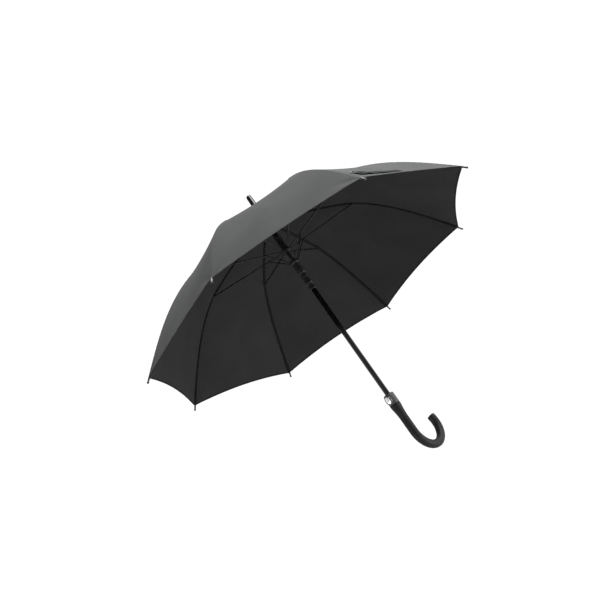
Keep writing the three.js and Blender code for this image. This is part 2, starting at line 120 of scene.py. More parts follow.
def turn_to_rib(points, number):
    """Points drawn round the XZ plane, turned to a rib."""
    angle = FIRST_RIB + (number - 1) * TURN
    cos, sin = math.cos(angle), math.sin(angle)
    matrix = np.array([[cos, -sin, 0], [sin, cos, 0], [0, 0, 1]])
    return np.asarray(points, float) @ matrix.T


# ---- materials -----------------------------------------------------------------------------------
class Look:
    """A Principled material and short ways to hang nodes on it."""

    def __init__(self, name, colour, roughness, metallic=0.0, **inputs):
        self.material = bpy.data.materials.new(name)
        self.material.use_nodes = True
        self.tree = self.material.node_tree
        self.surface = self.tree.nodes["Principled BSDF"]
        self.set("Base Color", (*colour, 1))
        self.set("Roughness", roughness)
        self.set("Metallic", metallic)
        for key, value in inputs.items():
            self.set(key.replace("_", " ").title().replace("Ior", "IOR"), value)

    def set(self, key, value):
        self.surface.inputs[key].default_value = value

    def node(self, kind, inputs=None, **attributes):
        node = self.tree.nodes.new(kind)
        for key, value in attributes.items():
            setattr(node, key, value)
        for key, value in (inputs or {}).items():
            if isinstance(value, bpy.types.NodeSocket):
                self.tree.links.new(value, node.inputs[key])
            else:
                node.inputs[key].default_value = value
        return node

    def place(self):
        return self.node("ShaderNodeTexCoord").outputs["Object"]

    def attribute(self, name):
        return self.node("ShaderNodeAttribute", attribute_name=name).outputs["Vector"]

    def noise(self, size, vector=None, detail=3.0, stretch=(1, 1, 1)):
        """Noise with features of about the given size in millimetres."""
        vector = vector or self.place()
        if stretch != (1, 1, 1):
            vector = self.node("ShaderNodeMapping", {"Vector": vector, "Scale": stretch}).outputs[0]
        inputs = {"Vector": vector, "Scale": 1 / (size * MM), "Detail": detail}
        return self.node("ShaderNodeTexNoise", inputs).outputs["Fac"]

    def wave(self, pitch, vector, direction):
        """Sine bands with the given pitch in millimetres."""
        scale = 2 * math.pi / (20 * pitch * MM)
        inputs = {"Vector": vector, "Scale": scale}
        node = self.node("ShaderNodeTexWave", inputs, bands_direction=direction)
        return node.outputs["Fac"]

    def maths(self, operation, first, second):
        return self.node("ShaderNodeMath", {0: first, 1: second}, operation=operation).outputs[0]

    def spread(self, factor, low, high):
        """A factor's middle part mapped from low to high, for a number such as roughness."""
        inputs = {"Value": factor, "From Min": 0.3, "From Max": 0.7, "To Min": low, "To Max": high}
        return self.node("ShaderNodeMapRange", inputs).outputs[0]

    def tint(self, factor, low, high, low_at=0.3, high_at=0.7):
        """A factor mapped to a colour between two."""
        ramp = self.node("ShaderNodeValToRGB", {"Fac": factor})
        ramp.color_ramp.elements[0].position = low_at
        ramp.color_ramp.elements[1].position = high_at
        ramp.color_ramp.elements[0].color = (*low, 1)
        ramp.color_ramp.elements[1].color = (*high, 1)
        return ramp.outputs["Color"]

    def drive(self, key, socket):
        self.tree.links.new(socket, self.surface.inputs[key])

    def bump(self, height, depth, strength=1.0, below=None):
        """Adds a bump of the given depth in millimetres on top of an earlier one."""
        inputs = {"Height": height, "Distance": depth * MM, "Strength": strength}
        if below:
            inputs["Normal"] = below
        normal = self.node("ShaderNodeBump", inputs).outputs["Normal"]
        self.drive("Normal", normal)
        return normal


def woven_look(name, colour, pitch, roughness, sheen, gloss=0.15):
    """Plain weave read from the sheet's own flat coordinates, with slubs and a soft bloom."""
    look = Look(name, colour, roughness, sheen_weight=sheen, sheen_roughness=0.45)
    look.set("Specular IOR Level", gloss)
    flat = look.node("ShaderNodeTexCoord").outputs["UV"]
    warp = look.wave(pitch, flat, "X")
    weft = look.wave(pitch, flat, "Y")
    weave = look.maths("MULTIPLY", warp, weft)
    slubs = look.noise(3, flat, stretch=(1, 0.06, 1))
    clouds = look.noise(160, flat, detail=1.0)
    dark = tuple(0.82 * c for c in colour)
    light = tuple(1.16 * c for c in colour)
    mixed = look.maths("ADD", look.maths("MULTIPLY", slubs, 0.5), look.maths("MULTIPLY", clouds, 0.5))
    look.drive("Base Color", look.tint(mixed, dark, light, 0.38, 0.62))
    look.drive("Roughness", look.spread(slubs, roughness - 0.06, roughness + 0.06))
    soft = look.bump(clouds, 0.8, 0.15)
    look.bump(weave, 0.06, 0.35, below=soft)
    return look.material


def thread_look():
    look = Look("black_thread", (0.008, 0.008, 0.009), 0.5, sheen_weight=0.1)
    twist = look.wave(0.5, look.place(), "DIAGONAL")
    look.bump(twist, 0.05, 0.5)
    return look.material


def painted_look(name, colour, roughness, metallic, grain=0.5, gloss=0.5, edge=1.0):
    """Painted or plated metal: fine orange peel, and rubbed places that are a little glossier."""
    look = Look(name, colour, roughness, metallic)
    look.set("Specular IOR Level", gloss)
    look.set("Specular Tint", (edge, edge, edge, 1))
    rubs = look.noise(9, stretch=(1, 1, 0.15), detail=4.0)
    peel = look.noise(grain, detail=2.0)
    look.drive("Roughness", look.spread(rubs, roughness * 0.75, roughness * 1.35))
    light = tuple(min(1.0, 1.5 * c + 0.004) for c in colour)
    look.drive("Base Color", look.tint(rubs, colour, light, 0.45, 0.75))
    look.bump(peel, 0.02, 0.35)
    return look.material


def moulded_look(name, colour, roughness, grain=0.35, depth=0.03, gloss=0.5):
    """Moulded plastic with a spark-eroded grain and faint flow marks."""
    look = Look(name, colour, roughness)
    look.set("Specular IOR Level", gloss)
    fine = look.noise(grain, detail=2.0)
    flow = look.noise(14, stretch=(1, 1, 0.3))
    look.drive("Roughness", look.spread(flow, roughness - 0.07, roughness + 0.09))
    light = tuple(1.25 * c for c in colour)
    look.drive("Base Color", look.tint(flow, colour, light))
    look.bump(fine, depth, 0.6)
    return look.material


def grip_look():
    """Soft-touch rubber with fine streaks along the grip, polished where a palm rubs it."""
    look = Look("soft_touch_rubber", (0.02, 0.02, 0.022), 0.55)
    look.set("Specular IOR Level", 0.15)
    along = look.attribute("lengthwise")
    streaks = look.noise(1.1, along, detail=5.0)
    broad = look.noise(6, along, detail=2.0)
    palm = look.noise(35)
    mixed = look.maths("ADD", look.maths("MULTIPLY", streaks, 0.65), look.maths("MULTIPLY", broad, 0.35))
    look.drive("Base Color", look.tint(mixed, (0.0025, 0.0025, 0.0027), (0.012, 0.0118, 0.0122), 0.4, 0.62))
    look.drive("Roughness", look.spread(palm, 0.46, 0.66))
    low = look.bump(broad, 0.12, 0.4)
    look.bump(streaks, 0.06, 0.5, below=low)
    return look.material


def plated_look(name, colour, roughness):
    """Bright plating with faint turning marks and tiny scuffs."""
    look = Look(name, colour, roughness, 1.0)
    scuffs = look.noise(2.2, detail=6.0)
    look.drive("Roughness", look.spread(scuffs, roughness * 0.7, roughness * 1.7))
    look.bump(look.noise(0.4, stretch=(1, 0.1, 1)), 0.01, 0.3)
    return look.material


CLOTH = woven_look("canopy_cloth_outside", (0.0245, 0.025, 0.0255), 0.5, 0.8, 0.015, gloss=0.05)
LINING = woven_look("canopy_cloth_inside", (0.013, 0.013, 0.0132), 0.5, 0.75, 0.02, gloss=0.08)
# Doubled cloth of seams, hem, rib sleeves and joint patches: real turned-back layers, drawn much darker than
# the lining as painted shade along the ribs and hem.
DOUBLED_WITH_PAINTED_SHADE = woven_look("canopy_cloth_doubled_painted_shade", (0.0055, 0.0055, 0.0056), 0.5, 0.75, 0.02, gloss=0.08)
TAPE = woven_look("strap_tape", (0.003, 0.003, 0.0032), 0.8, 0.8, 0.0, gloss=0.05)
THREAD = thread_look()
BLACK_METAL = painted_look("black_chromed_tube", (0.07, 0.07, 0.071), 0.14, 1.0)
RIB_STEEL = painted_look("black_zinc_steel", (0.004, 0.004, 0.0045), 0.24, 0.2, gloss=0.2)
ROD = painted_look("black_fibre_rod", (0.004, 0.004, 0.0045), 0.4, 0.0, grain=0.9, gloss=0.15)
BRIGHT = plated_look("bright_plating", (0.9, 0.9, 0.91), 0.26)
FERRULE_METAL = painted_look("black_chromed_ferrule", (0.03, 0.03, 0.031), 0.12, 1.0, edge=0.0)
CAP_METAL = painted_look("black_lacquered_cap", (0.004, 0.004, 0.0045), 0.25, 0.1, gloss=0.4)
SPRING_STEEL = plated_look("spring_wire", (0.06, 0.06, 0.063), 0.3)
BLACK_PLASTIC = moulded_look("black_moulded_nylon", (0.006, 0.006, 0.0065), 0.42, gloss=0.25)
GREY_PLASTIC = moulded_look("grey_moulded_nylon", (0.03, 0.03, 0.031), 0.42, 0.4, 0.05)
RUBBER = grip_look()


# ---- mesh helpers --------------------------------------------------------------------------------
class Build:
    """Gathers closed shapes in millimetres into one mesh."""

    def __init__(self):
        self.points = []
        self.faces = []
        self.slots = []

    def add(self, shape, slot=0, rib=None):
        points, faces = shape
        points = np.asarray(points, float)
        if rib is not None:
            points = turn_to_rib(points, rib)
        base = len(self.points)
        self.points.extend(points)
        self.faces.extend([[base + i for i in face] for face in faces])
        self.slots.extend([slot] * len(faces))
        return self

    def object(self, name, materials, bevel=0.0, cutters=None, sharp=35):
        mesh = bpy.data.meshes.new(name)
        mesh.from_pydata([tuple(p * MM) for p in self.points], [], self.faces)
        for material in materials:
            mesh.materials.append(material)
        mesh.polygons.foreach_set("material_index", self.slots)
        work = bmesh.new()
        work.from_mesh(mesh)
        bmesh.ops.recalc_face_normals(work, faces=work.faces)
        work.to_mesh(mesh)
        work.free()
        made = link(name, mesh)
        if cutters is not None:
            combine(made, cutters.object(name + "_cutter", materials), "DIFFERENCE")
        finish_edges(made, bevel, sharp)
        return made


def link(name, data):
    made = bpy.data.objects.new(name, data)
    bpy.context.scene.collection.objects.link(made)
    return made


def combine(made, tool, operation):
    """Joins or cuts an object with a tool, which is used up. The tool's own shapes may overlap."""
    change = made.modifiers.new("combine", "BOOLEAN")
    change.operation = operation
    change.solver = "EXACT"
    change.use_self = True
    change.object = tool
    bake(made)
    bpy.data.objects.remove(tool)


def finish_edges(made, bevel, sharp=35):
    """Smooth shading with sharp edges past an angle in degrees, and a small bevel along those."""
    made.data.polygons.foreach_set("use_smooth", [True] * len(made.data.polygons))
    made.data.set_sharp_from_angle(angle=math.radians(sharp))
    if bevel:
        edge = made.modifiers.new("edges", "BEVEL")
        edge.width = bevel * MM
        edge.segments = 2
        edge.limit_method = "ANGLE"
        edge.angle_limit = math.radians(sharp)
        edge.harden_normals = True
        bake(made)


def bake(made):
    """Applies every modifier on an object."""
    graph = bpy.context.evaluated_depsgraph_get()
    graph.update()
    final = bpy.data.meshes.new_from_object(made.evaluated_get(graph), depsgraph=graph)
    old = made.data
    made.modifiers.clear()
    made.data = final
    final.name = made.name
    bpy.data.meshes.remove(old)


def put(made, body, slot, *nodes):
    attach(made, body)
    if nodes:
        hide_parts(*nodes)


ON_AXIS = 1e-6  # a smaller radius counts as a point on the axis


def lathe(profile, sides=64):
    """A profile of (radius, z) turned round Z. It starts and ends on the axis, or closes on itself."""
    points, rings = [], []
    for radius, z in profile:
        ring = circle(radius, sides) if radius > ON_AXIS else [(0, 0)]
        rings.append(range(len(points), len(points) + len(ring)))
        points += [(x, y, z) for x, y in ring]
    pairs = list(zip(rings, rings[1:]))
    if len(rings[0]) > 1:
        pairs.append((rings[-1], rings[0]))
    faces = []
    for low, high in pairs:
        for i in range(sides):
            corners = [ring[k % len(ring)] for ring, k in ((low, i), (low, i + 1), (high, i + 1), (high, i))]
            face = list(dict.fromkeys(corners))  # a corner on the axis comes twice
            if len(face) > 2:
                faces.append(face)
    return points, faces


def rounded(outline, radius):
    """An outline with its corners rounded; a corner on the axis stays sharp."""
    made = []
    steps = 3
    count = len(outline)
    for i, corner in enumerate(outline):
        if abs(corner[0]) < ON_AXIS:
            made.append(tuple(corner))
            continue
        here = np.array(corner, float)
        before = np.array(outline[i - 1], float) - here
        after = np.array(outline[(i + 1) % count], float) - here
        reach = min(radius, 0.45 * np.linalg.norm(before), 0.45 * np.linalg.norm(after))
        start = here + before / np.linalg.norm(before) * reach
        end = here + after / np.linalg.norm(after) * reach
        for step in range(steps + 1):
            t = step / steps
            made.append(tuple((1 - t) ** 2 * start + 2 * t * (1 - t) * here + t ** 2 * end))
    return made


def circle(radius, sides):
    return [(radius * math.cos(2 * math.pi * i / sides), radius * math.sin(2 * math.pi * i / sides))
            for i in range(sides)]


def lofted(rings, is_loop=False):
    """Rings of points joined in order, with a flat end at each side unless they form a loop."""
    points = [p for ring in rings for p in ring]
    count = len(rings[0])
    faces = []
    for s in range(len(rings) if is_loop else len(rings) - 1):
        a, b = s * count, (s + 1) % len(rings) * count
        faces += [[a + i, a + (i + 1) % count, b + (i + 1) % count, b + i] for i in range(count)]
    if not is_loop:
        last = len(points) - count
        faces += [list(range(count))[::-1], [last + i for i in range(count)]]
    return points, faces


def swept(section, stations):
    """A closed section of (across, up) points carried along stations of (x, z, normal, scale)."""
    return lofted([[(x + normal[0] * up * scale, across * scale, z + normal[1] * up * scale)
                    for across, up in section] for x, z, normal, scale in stations])


def tube(path, radius, sides=8, closed=False):
    """A round wire along a path of 3D points."""
    path = np.asarray(path, float)
    if closed:
        along = np.roll(path, -1, 0) - np.roll(path, 1, 0)
    else:
        along = np.gradient(path, axis=0)
    along /= np.linalg.norm(along, axis=1)[:, None]
    side = np.cross(along[0], (0.31, 0.22, 0.93))
    rings = []
    for place, direction in zip(path, along):
        side = side - direction * (side @ direction)
        side /= np.linalg.norm(side)
        up = np.cross(direction, side)
        rings.append([place + side * a + up * b for a, b in circle(radius, sides)])
    return lofted(rings, closed)


def plate(outline, low, high):
    """An outline of (x, z) points as a plate from y = low to y = high."""
    return lofted([[(x, y, z) for x, z in outline] for y in (low, high)])


def eyed_bar(start, end, half, eye, low, high):
    """A flat bar with a round eye at each end."""
    sides = 14
    run = np.subtract(end, start)
    length = np.linalg.norm(run)
    along = run / length
    across = np.array([-along[1], along[0]])
    neck = math.asin(min(1.0, half / eye))
    outline = []
    for centre, first in ((length, -(math.pi - neck)), (0, neck)):
        sweep = 2 * (math.pi - neck)
        for i in range(sides + 1):
            turn = first + sweep * i / sides
            spot = along * (centre + eye * math.cos(turn)) + across * eye * math.sin(turn)
            outline.append(tuple(np.add(start, spot)))
    return plate(outline, low, high)


def rivet(place, low, high, radius):
    """A rivet through a joint, along Y, with a low domed head at each end."""
    head = 1.75 * radius
    rise = 0.55 * radius
    profile = [(0, low - rise), (head * 0.55, low - rise * 0.85), (head * 0.9, low - rise * 0.4), (head, low),
               (radius, low), (radius, high), (head, high), (head * 0.9, high + rise * 0.4),
               (head * 0.55, high + rise * 0.85), (0, high + rise)]
    points, faces = lathe(profile, 14)
    return [(place[0] + x, z, place[1] + y) for x, y, z in points], faces


def sheet_faces(rows, columns, half=1):
    """Faces of a closed sheet whose top and bottom layers are grids: the top, the bottom, the rim."""
    size = rows * columns
    index = np.arange(size).reshape(rows, columns)
    top = np.stack([index[:-1, :-1], index[1:, :-1], index[1:, 1:], index[:-1, 1:]], -1).reshape(-1, 4)
    if half < 0:
        top = top[:, ::-1]
    rim = np.concatenate([index[0, :-1], index[:-1, -1], index[-1, :0:-1], index[:0:-1, 0]])
    after = np.roll(rim, -1)
    sides = np.stack([rim, after, after + size, rim + size], -1)
    if half > 0:
        sides = sides[:, ::-1]
    return top.tolist(), (top[:, ::-1] + size).tolist(), sides.tolist()


def box(x, y, z):
    points = [(a, b, c) for a in x for b in y for c in z]
    faces = [[0, 1, 3, 2], [4, 6, 7, 5], [0, 4, 5, 1], [2, 3, 7, 6], [0, 2, 6, 4], [1, 5, 7, 3]]
    return points, faces


# ---- rib line and canopy surface -----------------------------------------------------------------
def bowed(start, end, bow, skew, t):
    """Points and unit normals of a bulged line from start to end at each share t."""
    start, run = np.array(start, float), np.subtract(end, start).astype(float)
    length = np.linalg.norm(run)
    normal = np.array([-run[1], run[0]]) / length
    t = np.asarray(t, float)[..., None]
    rise = 4 * bow * t * (1 - t) * (1 + skew * (1 - 2 * t))
    slope = 4 * bow * ((1 - 2 * t) * (1 + skew * (1 - 2 * t)) - 2 * skew * t * (1 - t))
    along = run + normal * slope
    along /= np.linalg.norm(along, axis=-1, keepdims=True)
    return start + run * t + normal * rise, np.stack([-along[..., 1], along[..., 0]], -1)


def rib_line(reach):
    """Reach 0 is the crown, 1 is the split and 2 is the canopy's corner."""
    reach = np.asarray(reach, float)
    inner, inner_normal = bowed((PIVOT_RADIUS, CROWN_Z), SPLIT, INNER_BOW, 0, np.minimum(reach, 1))
    outer, outer_normal = bowed(SPLIT, TIP, OUTER_BOW, OUTER_BOW_SKEW, np.maximum(reach - 1, 0))
    is_outer = (reach > 1)[..., None]
    return np.where(is_outer, outer, inner), np.where(is_outer, outer_normal, inner_normal)


def lifted_line(reach):
    """The rib line raised to the cloth, with its corner at the split softened."""
    window = 0.07 * np.clip(1 - ((reach - 1) / 0.22) ** 2, 0, 1)
    offsets = (-1, -0.6, -0.2, 0.2, 0.6, 1)
    total, normals = 0, 0
    for offset in offsets:
        point, normal = rib_line(reach + window * offset)
        total = total + point + normal * CLOTH_LIFT
        normals = normals + normal
    return total / len(offsets), normals / np.linalg.norm(normals, axis=-1, keepdims=True)


LANDING_Z = float(rib_line((CLOTH_LANDING_R - PIVOT_RADIUS) / (SPLIT[0] - PIVOT_RADIUS))[0][1]) + CLOTH_LIFT


def cloth_line(reach):
    """The canopy over a rib: flat over the crown, down to the rib, then along it."""
    line, normal = lifted_line(np.asarray(reach, float))
    share = (line[..., 0] - PIVOT_RADIUS) / (CLOTH_LANDING_R - PIVOT_RADIUS)
    outward = CLOTH_START[0] + (CLOTH_LANDING_R - CLOTH_START[0]) * share
    down = np.clip((outward - CLOTH_SHOULDER[0]) / (CLOTH_LANDING_R - CLOTH_SHOULDER[0]), 0, 1)
    ease = down * down * (3 - 2 * down)
    height = CLOTH_SHOULDER[1] + (LANDING_Z - CLOTH_SHOULDER[1]) * ease
    near = (line[..., 0] < CLOTH_LANDING_R)[..., None]
    return np.where(near, np.stack([outward, height], -1), line), normal


INNER_LENGTH = float(np.linalg.norm(np.diff(rib_line(np.linspace(0, 1, 60))[0], axis=0), axis=1).sum())
OUTER_LENGTH = float(np.linalg.norm(np.diff(rib_line(np.linspace(1, 2, 60))[0], axis=0), axis=1).sum())


def pucker(reach, across, width, half, number):
    """How far seams, hem and corner tension lift the cloth, in millimetres."""
    phase = 1.7 * number + (0.9 if half > 0 else 0)
    along = INNER_LENGTH * np.minimum(reach, 1) + OUTER_LENGTH * np.maximum(reach - 1, 0)
    ripple = np.sin(2 * math.pi * along / 15.5 + phase + 0.9 * np.sin(2 * math.pi * along / 71 + phase))
    seam = 0.3 * np.exp(-across / 9) * (1 - np.exp(-across / 1.5)) * ripple * np.clip(width / 60, 0, 1)
    to_hem = np.maximum((2 - reach) * OUTER_LENGTH, 0)
    tug = np.sin(2 * math.pi * across / 11.3 + phase + 0.7 * np.sin(2 * math.pi * across / 47 + phase))
    fade = np.clip((width - across) / 25, 0, 1)
    hem = 0.22 * np.exp(-to_hem / 11) * tug * fade * (1 - np.exp(-across / 4))
    far = np.hypot(to_hem, across)
    angle = np.arctan2(to_hem, across)
    corner = 0.8 * np.exp(-((far - 34) / 24) ** 2) * np.sin(6 * angle)
    return seam + hem + corner


def canopy_surface(reach, share, half, number):
    """The canopy's middle surface beside a rib. Half is 1 or -1, share runs to 0.5 at mid-panel."""
    line, normal = cloth_line(reach)
    radius = line[..., 0]
    turn = half * TURN
    hollow = CLOTH_HOLLOW * 4 * share * (1 - share) * np.sin(math.pi * reach / 2.2) ** 2
    across = share * 2 * radius * math.sin(TURN / 2)
    sink = hollow - pucker(reach, across, radius * math.sin(TURN / 2), half, number)
    return np.stack([
        radius * (1 - share + share * math.cos(turn)) - sink * normal[..., 0] * math.cos(turn / 2),
        radius * share * math.sin(turn) - sink * normal[..., 0] * math.sin(turn / 2),
        line[..., 1] - sink * normal[..., 1],
    ], -1)


def surface_normal(reach, share, half, number):
    """Upward unit normal of the canopy's surface, one-sided at the rib."""
    step = 0.004
    out = (canopy_surface(np.minimum(reach + step, 2), share, half, number)
           - canopy_surface(np.maximum(reach - step, 0), share, half, number))
    across = (canopy_surface(reach, share + step, half, number)
              - canopy_surface(reach, np.maximum(share - step, 0), half, number))
    normal = np.cross(out, across) * half
    return normal / np.linalg.norm(normal, axis=-1, keepdims=True)


# ---- canopy pieces -------------------------------------------------------------------------------
# Each band of a half panel: its reach, its row pitch in millimetres, and how it gathers as the
# umbrella closes: what is left across the cloth, and how far its folds lean in towards the shaft.
# The apex stays at the ferrule.
BANDS = {
    "apex": {"reach": (0.0, 0.1), "pitch": 1.4, "body": "rib"},
    "crown": {"reach": (0.1, 0.45), "pitch": 3.2, "body": "rib", "keep": 0.171, "lean": 31.7},
    "upper": {"reach": (0.45, 1.0), "pitch": 4.0, "body": "rib", "keep": 0.17, "lean": 11},
    "lower": {"reach": (1.0, 2.0), "pitch": 4.0, "body": "outer_rib", "keep": 0.115, "lean": 5.6},
}
BAND_JOINT = {"rib": "rib_{}_hinge", "outer_rib": "outer_rib_{}_unbend"}


def hem_reach(reach, share):
    """Curves the hem in between two corners."""
    outer = np.hypot(TIP[0] - SPLIT[0], TIP[1] - SPLIT[1])
    scallop = HEM_SCALLOP / outer * 4 * share * (1 - share)
    return np.where(reach > 1, reach - scallop * (reach - 1), reach)


def band_rows(band):
    low, high = band["reach"]
    length = (INNER_LENGTH if high <= 1 else OUTER_LENGTH) * (high - low)
    rows = np.linspace(low, high, max(2, round(length / band["pitch"])) + 1)
    if high < 2:
        return rows
    hem = 2 - np.array([HEM_WIDTH + 1.5, HEM_WIDTH + 0.6, HEM_WIDTH, HEM_WIDTH / 2, 0.5, 0]) / OUTER_LENGTH
    return np.concatenate([rows[rows < hem[0] - 0.004], hem])


def band_grid(rows):
    """Reach and share at each crossing: a seam's width of close columns, then wider ones."""
    radius = cloth_line(rows)[0][:, 0]
    width = radius * math.sin(TURN / 2)
    seam = np.array([0, 0.8, SEAM_ALLOWANCE, SEAM_ALLOWANCE + 0.6])
    scale = np.minimum(1, width / 16)[:, None]
    near = seam[None, :] * scale
    t = np.linspace(0, 1, 18)[1:] ** 1.35
    far = near[:, -1:] + (width[:, None] - near[:, -1:]) * t[None, :]
    across = np.concatenate([near, far], axis=1)
    return np.repeat(rows[:, None], across.shape[1], 1), across / (2 * radius[:, None] * math.sin(TURN / 2))


def grid_normals(points, half):
    rows = np.gradient(points, axis=0)
    columns = np.gradient(points, axis=1)
    normals = np.cross(rows, columns) * half
    return normals / np.linalg.norm(normals, axis=-1, keepdims=True)


def stitch_row(reach, across_from, across_to, half, number, lift):
    """Short threads along the hem, each a small six-sided bar."""
    radius = float(cloth_line(reach)[0][0])
    chord = 2 * radius * math.sin(TURN / 2)
    places = np.arange(across_from, across_to, STITCH_PITCH)
    points, faces, normals = [], [], []
    bulges = ((0.0, 0.35), (0.3, 1.0), (0.7, 1.0), (1.0, 0.35))
    ends = np.stack([places, places + STITCH_LENGTH], -1) / chord
    reaches = hem_reach(np.full_like(ends, reach), ends)
    ends_at = canopy_surface(reaches, ends, half, number)
    ups = surface_normal(reaches, ends, half, number) * math.copysign(1, lift)
    for (start, end), (up, _) in zip(ends_at, ups):
        along = (end - start) / np.linalg.norm(end - start)
        side = np.cross(up, along)
        around = [side * a + up * b for a, b in circle(1, 6)]
        rings = []
        for spot, swell in bulges:
            centre = start + (end - start) * spot + up * (abs(lift) + STITCH_RADIUS * (swell - 0.4))
            rings.append([centre + direction * STITCH_RADIUS * swell for direction in around])
        thread, thread_faces = lofted(rings)
        faces += [[len(points) + i for i in face] for face in thread_faces]
        points += thread
        normals += around * len(bulges)
    return points, faces, normals


def cloth_piece(name, band, half, number):
    """One band of a half panel as a thin closed sheet with seam allowance, hem and stitches."""
    rows = band_rows(band)
    reach, share = band_grid(rows)
    has_hem = band["reach"][1] == 2
    bent = hem_reach(reach, share)
    middle = canopy_surface(bent, share, half, number)
    up = surface_normal(bent, share, half, number)
    to_hem = (2 - reach) * OUTER_LENGTH
    in_hem = to_hem <= HEM_WIDTH + 0.01 if has_hem else np.zeros_like(reach, bool)
    columns = np.arange(reach.shape[1])[None, :]
    in_seam = np.broadcast_to(columns <= 2, reach.shape)
    groove = np.where(columns == 0, 0.28, 0.0)
    top = middle + up * (CLOTH_HALF - groove)[..., None]
    below = np.where(in_hem | in_seam, FOLD_THICKNESS, CLOTH_HALF)
    below = np.where(in_hem & (to_hem < 0.1), 0.2, below)
    bottom = middle - up * below[..., None]
    top_normal, bottom_normal = grid_normals(top, half), -grid_normals(bottom, half)
    for edge in (0, -1):
        if not (has_hem and edge == -1):
            top_normal[edge], bottom_normal[edge] = up[edge], -up[edge]
    across_plane = np.array([-half * math.sin(TURN / 2), math.cos(TURN / 2), 0]) * half
    for normals in (top_normal, bottom_normal):
        last = normals[:, -1]
        last -= (last @ across_plane)[:, None] * across_plane
        last /= np.linalg.norm(last, axis=1)[:, None]

    outside, inside, rim = sheet_faces(*reach.shape, half)
    faces = outside + inside + rim
    # Faces of turned-back seam and hem cloth; they take the darker doubled cloth, real layers with painted
    # shade along the rib and hem.
    doubled_with_painted_shade = (in_seam[:-1, 1:] | in_hem[:-1, 1:]).reshape(-1)
    slots = [0] * len(outside) + [3 if is_doubled_with_painted_shade else 1 for is_doubled_with_painted_shade in doubled_with_painted_shade] + [0] * len(rim)
    points = np.concatenate([top.reshape(-1, 3), bottom.reshape(-1, 3)])
    normals = np.concatenate([top_normal.reshape(-1, 3), bottom_normal.reshape(-1, 3)])
    flat = np.stack([share * 2 * cloth_line(reach)[0][..., 0] * math.sin(TURN / 2) * half,
                     INNER_LENGTH * np.minimum(bent, 1) + OUTER_LENGTH * np.maximum(bent - 1, 0)], -1)
    flat = np.concatenate([flat.reshape(-1, 2)] * 2)
    if has_hem:
        stitch_at = 2 - (HEM_WIDTH - 1) / OUTER_LENGTH
        half_width = float(cloth_line(stitch_at)[0][0]) * math.sin(TURN / 2)
        for lift in (CLOTH_HALF, -FOLD_THICKNESS):
            extra = stitch_row(stitch_at, 4.0, half_width - STITCH_PITCH, half, number, lift)
            base = len(points)
            points = np.concatenate([points, extra[0]])
            normals = np.concatenate([normals, extra[2]])
            flat = np.concatenate([flat, np.zeros((len(extra[0]), 2))])
            faces += [[base + i for i in face] for face in extra[1]]
            slots += [2] * len(extra[1])

    mesh = bpy.data.meshes.new(name)
    mesh.from_pydata((turn_to_rib(points, number) * MM).tolist(), [], faces)
    for material in (CLOTH, LINING, THREAD, DOUBLED_WITH_PAINTED_SHADE):
        mesh.materials.append(material)
    mesh.polygons.foreach_set("material_index", slots)
    mesh.polygons.foreach_set("use_smooth", [True] * len(faces))
    layer = mesh.uv_layers.new(name="flat")
    corners = np.empty(len(mesh.loops), np.int32)
    mesh.loops.foreach_get("vertex_index", corners)
    layer.data.foreach_set("uv", (flat[corners] * MM).ravel())
    mesh.normals_split_custom_set_from_vertices(turn_to_rib(normals, number).tolist())
    diagonals = np.cross(middle[1:, 1:] - middle[:-1, :-1], middle[1:, :-1] - middle[:-1, 1:])
    area = float(np.linalg.norm(diagonals, axis=-1).sum() / 2)
    width = float(np.linalg.norm(middle[-1, -1] - middle[-1, 0]))
    length = float(np.linalg.norm(np.diff(middle[:, -1], axis=0), axis=1).sum())
    return link(name, mesh), middle, (width, length, area)


def gather_direction(middle, lean, half):
    """The direction that a half panel gathers along: across the cloth, leant out of it by lean."""
    row = len(middle) // 2
    across = middle[row, -1] - middle[row, 0]
    rib = middle[-1, 0] - middle[0, 0]
    rib /= np.linalg.norm(rib)
    across -= rib * (across @ rib)
    across /= np.linalg.norm(across)
    out = np.cross(rib, across) * half
    turn = math.radians(lean)
    return across * math.cos(turn) + out * math.sin(turn)


def gather(made, number, joint, direction, middle, keep):
    """Gives a cloth piece a mesh of its own."""
    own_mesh(made)


def canopy():
    """Makes every cloth piece. Returns how each one gathers, for what lies on it."""
    folds = {}
    for number in range(1, RIB_COUNT + 1):
        for side, half in (("left", 1), ("right", -1)):
            for band_name, band in BANDS.items():
                name = f"canopy_{band_name}_{number}_{side}"
                made, middle, (width, length, area) = cloth_piece(name, band, half, number)
                part = "outer" if band["body"] == "outer_rib" else "inner"
                node = f"canopy_{part}_{number}"
                if "keep" in band:
                    put(made, f"{band['body']}_{number}", "cloth", node)
                    joint = BAND_JOINT[band["body"]].format(number)
                    folds[name] = (joint, gather_direction(middle, band["lean"], half), middle, band["keep"])
                    gather(made, number, *folds[name])
                else:
                    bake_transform(made)
                    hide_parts(node)
    return folds


folds = canopy()


ROSETTE_BORE = 7.6
ROSETTE_RADIUS = 21.2


